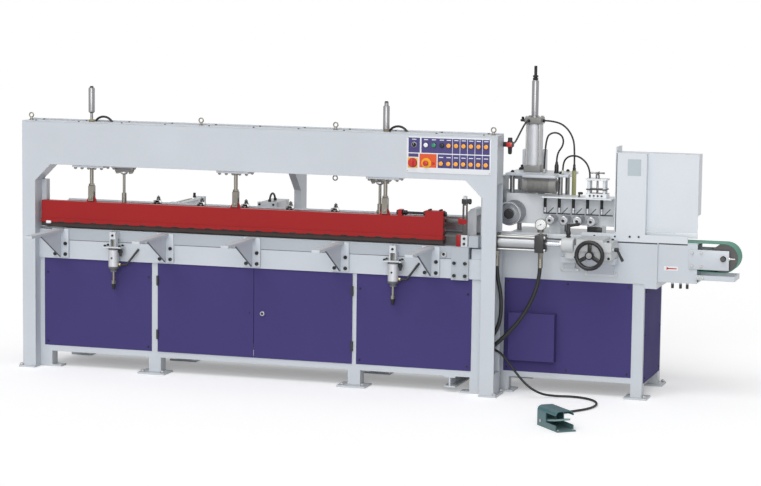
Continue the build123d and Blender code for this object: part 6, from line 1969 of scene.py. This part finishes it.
@dataclass
class SawStand:
    """Platform over the feed head with the lift cylinder, motor, scale, fittings and saw blade."""

    x: Span = (1490, 1880)
    y: Span = (50, 340)
    z: Span = (1300, 1316)
    columns: Span = (1520, 1820)
    column_y: Span = (110, 310)
    column_feet: Span = (1190, 945)
    guide_x: float = 1680
    guide_y: Span = (172, 242)
    guide_foot: float = 945
    plug: Point = (1785, 150, 1316)
    fittings: tuple[Point, ...] = ((1715, 120, 1316), (1840, 80, 1316))
    cylinder: Point = (1630, 205, 1316)
    cap: float = 104
    cap_height: float = 40
    barrel_height: float = 254
    bore: float = 92
    neck: float = 86
    tie_gap: float = 80
    sleeve_top: float = 1875
    thread_start: float = 1874
    thread_pitch: float = 2.5
    thread_rows: int = 36
    motor: Point = (1618, 0, 1252)
    motor_length: float = 205
    motor_ribs: int = 17
    rib_pitch: float = 8
    scale_x: Span = (1890, 1915)
    scale_y: Span = (107, 123)
    scale_z: Span = (1190, 1340)
    first_tick: float = 1198
    tick_pitch: float = 4.5
    tick_rows: int = 31
    blade: Point = (1410, -30, 1150)
    tooth_turns: range = range(0, 360, 10)

    def build(self) -> None:
        """Model the stand and the blade."""
        self.platform()
        self.lift()
        self.feed_motor()
        self.scale()
        self.saw()

    def platform(self) -> None:
        """Platform plate with its front lip, columns, guide rods and drive box."""
        low, high = self.z
        plate = bench.box(self.x, self.y, self.z, 2)
        lip = bench.box((1618, 1823), (-48, 52), self.z, 2)
        bracket = bench.box((1878, 1891), self.scale_y, self.z, 1)
        drive = bench.box((1540, 1684), (270, 340), (high, 1446), 4, 3)
        parts = [plate, lip, bracket, drive]
        bench.show("stand_platform", Finish.GREY, parts, replaces=["saw_stand"])
        guide = (self.guide_foot, low)
        rods = [bench.rod(Z, (self.guide_x, y, 0), guide, 25, 1) for y in self.guide_y]
        for y, foot in zip(self.column_y, self.column_feet):
            rods += [bench.rod(Z, (x, y, 0), (foot, low), 30, 1) for x in self.columns]
        bench.show("stand_columns", Finish.TUBE_STEEL, rods)
        bolt = bench.nut(Z, ORIGIN, (0, 10), 19, 11)
        bench.row("stand_bolts", Finish.BOLT, bolt, grid(self.columns, self.column_y, high))
        steps = ((0, 30), (6, 30), (6, 26), (46, 26), (54, 20), (70, 15))
        bench.show("stand_plug", Finish.BLACK, [bench.turned(Z, self.plug, steps)])
        fitting = bench.join([bench.nut(Z, ORIGIN, (0, 12), 18), bench.rod(Z, ORIGIN, (11, 26), 15)])
        bench.row("line_fittings", Finish.ZINC, fitting, self.fittings)

    def lift(self) -> None:
        """Lift cylinder with square caps, tie rods, long sleeve, threaded tip and flow valves."""
        x, y, low = self.cylinder
        high = low + 2 * self.cap_height + self.barrel_height
        side = self.cap / 2
        port = self.cap_height / 2
        place = (x, y, 0)
        square = (about(x, self.cap), about(y, self.cap))
        spans = ((low, low + self.cap_height), (high - self.cap_height, high))
        bench.show("saw_cylinder_caps", Finish.MOTOR, [bench.box(*square, span, 4, 3) for span in spans])
        steps = (
            (low + 38, self.neck), (low + 44, self.neck), (low + 44, self.bore), (high - 44, self.bore),
            (high - 44, self.neck), (high - 38, self.neck))
        bench.show("saw_cylinder_barrel", Finish.SATIN, [bench.turned(Z, place, steps, 48)])
        top = self.sleeve_top
        steps = ((high - 1, 60), (high + 8, 60), (high + 10, 43), (top - 7, 43), (top, 36), (top, 22))
        bench.show("saw_cylinder_sleeve", Finish.TUBE_STEEL, [bench.turned(Z, place, steps, 40)])
        tie = bench.rod(Z, ORIGIN, (low + 2, high + 6), 10, 1, 16)
        nut = bench.nut(Z, ORIGIN, (high, high + 8), 16)
        corners = grid(about(x, self.tie_gap), about(y, self.tie_gap), 0)
        bench.row("saw_cylinder_ties", Finish.ZINC, bench.join([tie, nut]), corners)
        steps = [
            (self.thread_start + row * self.thread_pitch, 20 if row % 2 else 17.6)
            for row in range(self.thread_rows)]
        tip = bench.turned(Z, place, steps + [(1963, 15)], 18)
        nuts = [bench.nut(Z, place, span, 30) for span in ((1876, 1890), (1893, 1905))]
        bench.show("saw_cylinder_tip", Finish.BOLT, [tip] + nuts)
        valve = bench.turned(X, ORIGIN, ((1, 20), (-10, 20), (-12, 15), (-30, 15), (-32, 11)), 20)
        knob = bench.turned(Z, (-18, 0, 0), ((-8, 14), (10, 14), (12, 17), (20, 17), (22, 13)), 20)
        places = grid(x - side, y - 20, (low + port, high - port))
        bench.row("saw_cylinder_valves", Finish.BLACK, bench.join([valve, knob]), places)
        right = bench.nut(X, (x + side, y, high - port), (0, 12), 18)
        front = bench.nut(Y, (x - 25, y - side, high - port), (0, -10), 18)
        bench.show("saw_cylinder_ports", Finish.BOLT, [right, front])

    def feed_motor(self) -> None:
        """Ribbed feed motor under the platform's lip."""
        left, y, z = self.motor
        right = left + self.motor_length
        steps = [(left, 60), (left, 88), (left + 4, 94), (left + 30, 94)]
        for rib in range(self.motor_ribs):
            start = left + 31 + rib * self.rib_pitch
            steps += [(start, 86), (start + 3.6, 86), (start + 4.2, 96), (start + 7.4, 96)]
        steps += [(right - 30, 94), (right - 4, 94), (right, 88), (right, 60)]
        body = bench.turned(X, (0, y, z), steps, 40)
        block = bench.box((left + 4, right - 4), about(y, 48), (z + 10, self.z[0]), 2)
        bench.show("feed_motor_body", Finish.MOTOR, [body, block])
        cover = bench.turned(X, (right, y, z), ((-2, 70), (0.4, 70), (0.8, 66)))
        bench.show("feed_motor_cover", Finish.BOLT, [cover])

    def scale(self) -> None:
        """Olive scale strip with ticks and its hose fitting."""
        strip = bench.box(self.scale_x, self.scale_y, self.scale_z, 1.5)
        bench.show("scale_strip", Finish.OLIVE, [strip])
        start, front = self.scale_x[0] + 3, self.scale_y[0]
        ticks = [
            bench.box(
                (start, start + (8 if row % 5 else 14)), (front - 0.4, front + 0.2),
                about(self.first_tick + row * self.tick_pitch, 0.9))
            for row in range(self.tick_rows)]
        bench.show("scale_ticks", Finish.BOLT, ticks)
        place = (middle(self.scale_x), middle(self.scale_y), self.scale_z[1])
        fitting = bench.turned(Z, place, ((-1, 20), (14, 20), (16, 16), (35, 16)), 24)
        bench.show("scale_fitting", Finish.BLACK, [fitting])

    def saw(self) -> None:
        """Toothed blade on its spindle, between two flanges."""
        x, y, z = self.blade
        disc = bench.turned(X, self.blade, ((-1.4, 150), (-1.4, 238), (1.4, 238), (1.4, 150)), 96)
        tooth = bench.box(about(x, 3), (y - 6, y + 3), (z + 113, z + 124))
        teeth = bench.around(tooth, X, self.blade, self.tooth_turns)
        bench.show("blade_disc", Finish.CHROME, [disc, teeth], "blade", ["saw_blade"])
        steps = ((-9.5, 40), (-9.5, 64), (-7.5, 70), (7.5, 70), (9.5, 60), (29, 60), (29, 24), (50, 24))
        flange = bench.turned(X, self.blade, steps, 40)
        nut = bench.nut(X, self.blade, (-9.5, -9), 30)
        bench.show("blade_flange", Finish.STEEL, [flange, nut], "blade")


@dataclass
class Guard:
    """Blank plate, sill, a dark line of painted shadow at the box's left edge, and screws of the sheet
    guard.
    """

    face: float = -88
    plate_x: Span = (2271, 2351)
    plate_y: Span = (-89.2, -87.6)
    plate_z: Span = (1339, 1437)
    rivet_inset: float = 5
    rivet_seat: float = -89
    screws: tuple[Point, ...] = ((2293, -88, 975), (2347, -88, 976))
    flat_screws: tuple[Point, ...] = ((2078, -88, 971), (2203, -88, 972))

    def build(self) -> None:
        """Model the guard's plate, sill, painted shadow line and screws."""
        bench.show("guard_sign", Finish.SIGN, [bench.box(self.plate_x, self.plate_y, self.plate_z, 0.5, 1)])
        bench.show("guard_sill", Finish.GUARD, [bench.box((2382.5, 2690), (-48, -40), (976, 1003), 1)])
        # Dark strip where the left plate meets the box: painted shadow of the gap.
        gap_shadow = bench.box((2202, 2208), (self.face - 0.7, self.face + 0.6), (1000, 1470), 0.3, 1)
        bench.show("guard_joint", Finish.SHADE, [gap_shadow])
        inset = self.rivet_inset
        columns, rows = ((low + inset, high - inset) for low, high in (self.plate_x, self.plate_z))
        rivet = bench.turned(Y, ORIGIN, ((0, 5), (-1, 5), (-1.8, 3)), 14)
        bench.row("guard_rivets", Finish.ZINC, rivet, grid(columns, self.rivet_seat, rows))
        bench.row("guard_screws", Finish.BOLT, bench.socket_bolt(Y, ORIGIN, -5, 12), self.screws)
        flat = bench.turned(Y, ORIGIN, ((0, 12), (-0.6, 12), (-1.2, 9)), 18)
        bench.row("strip_screws", Finish.BOLT, flat, self.flat_screws)


@dataclass
class Conveyor:
    """Arrow plate, tail plate, bolts and knobs of the outfeed conveyor."""

    front: float = -85
    bracket: float = -93
    axle: Point = (2855, -118, 869)
    adjuster: Point = (2880, -89, 869)
    plate_x: Span = (2502, 2586)
    plate_z: Span = (783, 809)
    arrow_x: Span = (2524, 2578)
    arrow_z: float = 796
    knobs: Row = (2552, 2600, 2640)
    knob_y: float = -61

    def build(self) -> None:
        """Model the conveyor's small pieces."""
        self.arrow()
        self.tail()

    def arrow(self) -> None:
        """White plate with a plain red arrow."""
        front = self.front
        plate = bench.box(self.plate_x, (front - 1.2, front + 0.4), self.plate_z, 0.4, 1)
        bench.show("arrow_plate", Finish.WHITE, [plate])
        left, right = self.arrow_x
        shaft = bench.box((left + 2, right), (front - 1.7, front - 1), about(self.arrow_z, 7), 0.1, 1)
        place = (left, front - 1, self.arrow_z)
        head = bench.turn(bench.turned(Y, place, ((0, 23), (-0.7, 23)), 3), Y, -90, place)
        bench.show("arrow_mark", Finish.RED_CAP, [shaft, head])

    def tail(self) -> None:
        """Plate, bolts, knobs, adjusting screw and axle collar at the conveyor's tail."""
        bolt = bench.nut(Y, ORIGIN, (0, -9), 17, 9)
        plate = bench.box((2650, 2888), (self.bracket - 1, self.front - 0.2), (799, 916), 1)
        bench.show("tail_plate", Finish.GREY, [plate])
        places = grid((2670, 2724), self.bracket, (898, 818)) + grid((2706, 2736), self.bracket, 750)
        bench.row("tail_bolts", Finish.ZINC, bolt, places)
        steps = ((712, 15), (704, 15), (702, 17), (690, 17), (678, 16.8), (675.6, 13))
        knob = bench.turned(Z, ORIGIN, steps, 20)
        bench.row("under_knobs", Finish.BLACK, knob, grid(self.knobs, self.knob_y, 0))
        screw = bench.rod(X, self.adjuster, (2, 44), 10, 1, 18)
        nut = bench.nut(X, self.adjuster, (6, 14), 17)
        bench.show("tail_adjuster", Finish.ZINC, [screw, nut])
        collar = bench.turned(Y, self.axle, ((24, 34), (10, 34), (8, 31)))
        bench.show("tail_collar", Finish.BOLT, [collar], "tail_drum")


@dataclass
class Pedal:
    """Small fittings of the foot pedal, in its own turned place, and the cable's tapered ends."""

    place: Point = (2112, -1152, 0)
    turn: float = -50
    half_length: float = 125
    half_width: float = 58
    cable_z: float = 46
    upright: Point = (1466, -235, 275)

    def build(self) -> None:
        """Model the pedal's fittings."""
        steps = ((1, 30), (-6, 30), (-7, 27), (-14, 26), (-28, 19), (-46, 15.4))
        gland = bench.turned(X, (-self.half_length, 0, self.cable_z), steps, 24)
        bench.show("pedal_gland", Finish.BLACK, [self.lay(gland)])
        screws = bench.at(bench.socket_bolt(Z, ORIGIN, 4, 11), grid(108, (-46, 46), 8))
        heads = []
        for side in (-1, 1):
            steps = ((0, 20), (side * 2.6, 20), (side * 4.4, 15))
            heads.append(bench.turned(Y, (-85, side * self.half_width, 32), steps, 24))
        bench.show("pedal_screws", Finish.ZINC, [self.lay(bench.join([screws] + heads))])
        steps = ((4, 30), (13, 30), (14, 26), (24, 25), (38, 18), (54, 15.4))
        bench.show("upright_gland", Finish.BLACK, [bench.turned(X, self.upright, steps, 24)])

    def lay(self, piece: Piece) -> Piece:
        """Bring a piece that was modelled square at the origin to the pedal's place and turn."""
        return bench.stand(piece, (0, 0, math.radians(self.turn)), self.place)


@dataclass
class Regulator:
    """Air regulator at the beam's right end: black bowl, body with a red band and a ribbed knob."""

    x: float = 1582
    y: float = -215
    z: Span = (1494, 1524)
    wall: float = 1540
    side: float = 42
    knob_rows: int = 6
    row_pitch: float = 3

    def build(self) -> None:
        """Model the regulator."""
        place = (self.x, self.y, 0)
        low, high = self.z
        body = bench.box(about(self.x, self.side), about(self.y, self.side), self.z, 4, 3)
        arm = bench.box((self.wall, self.x), about(self.y, 12), self.z, 2)
        bench.show(
            "regulator_body", Finish.BLACK_IRON, [body, arm], replaces=["air_regulator"])
        steps = ((1450, 10), (1452, 18), (1458, 24), (1488, 26), (1494.5, 34))
        bowl = bench.turned(Z, place, steps)
        steps = [(1523.5, 34), (1528, 34), (1528, 28)]
        steps += [(1531 + row * self.row_pitch, 28 if row % 2 else 26.8) for row in range(self.knob_rows)]
        knob = bench.turned(Z, place, steps + [(1548, 27), (1550, 22)], 28)
        bench.show("regulator_bowl", Finish.BLACK, [bowl, knob])
        band = bench.box(about(self.x, 34), (self.y - 24, self.y - 20), (low + 2, high - 2), 1.5)
        bench.show("regulator_band", Finish.RED_CAP, [band])


PLAIN_FINISHES = {
    Finish.GREY: ("base_frame", "gantry_frame", "gantry_cover", "infeed_casing", "infeed_frame",
                  "conveyor_beam"),
    Finish.ARM: ("support_arms",),
    Finish.PALE: ("rear_fence", "end_guide", "air_cylinders"),
    Finish.HEAD: ("feed_head",),
    Finish.GUARD: ("guard_box",),
    Finish.RAIL: ("table_rail",),
    Finish.IVORY: ("carriage", "cross_slide"),
    Finish.PURPLE: ("cabinet_panels", "left_door", "right_door"),
    Finish.RED: ("press_beam",),
    Finish.STEEL_X: ("side_pusher",),
    Finish.STEEL: ("press_cylinders", "saw_stand", "height_handwheel"),
    Finish.ROD_STEEL: ("press_rods", "stop_pins"),
    Finish.ALUMINIUM: ("ram_cylinder",),
    Finish.STEEL_Y: ("head_pulley", "feed_roller_1", "feed_roller_2", "feed_roller_3",
                     "feed_roller_4", "main_feed_roller"),
    Finish.CAST: ("saw_carriage",),
    Finish.CHROME: ("saw_blade",),
    Finish.DARK_STEEL: ("bed_plate", "tail_pulley"),
    Finish.PAD: ("press_pad",),
    Finish.WHITE: ("control_panel",),
    Finish.AMBER: tuple(f"button_{number}" for number in range(1, 8)),
    Finish.GREEN: ("start_button",),
    Finish.BLACK: ("black_button", "selector", "handwheel", "clamp_lever_left", "clamp_lever_right",
                   "air_regulator"),
    Finish.RED_CAP: ("emergency_stop", "main_switch"),
    Finish.BELT: ("conveyor_belt",),
    Finish.TEAL: ("pedal_body",),
    Finish.TREADLE: ("pedal_treadle",),
    Finish.RUBBER: ("pedal_cable", "hydraulic_hoses", "saw_hoses"),
}


def dress_solids() -> None:
    """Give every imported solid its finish."""
    for finish, names in PLAIN_FINISHES.items():
        for name in names:
            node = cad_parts[name]
            if not node.material_slots:
                node.data.materials.append(None)
            for place in node.material_slots:
                place.material = finish.material
            log.info("finish %s on %s", finish.value.name, name)


def main() -> None:
    """Build the studio, the cords and every sub-assembly."""
    logging.basicConfig(level=logging.INFO)
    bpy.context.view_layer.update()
    Studio().build()
    for cord in CORDS:
        cord.build()
    dress_solids()
    assemblies = (
        Gantry(), PressBeam(), Table(), Cabinets(), ControlPanel(), Infeed(), Ram(), Carriage(), FeedHead(),
        SawStand(), Guard(), Conveyor(), Pedal(), Regulator())
    for assembly in assemblies:
        assembly.build()
        log.info("built %s", type(assembly).__name__)
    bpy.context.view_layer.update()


if __name__ == "__main__":
    main()
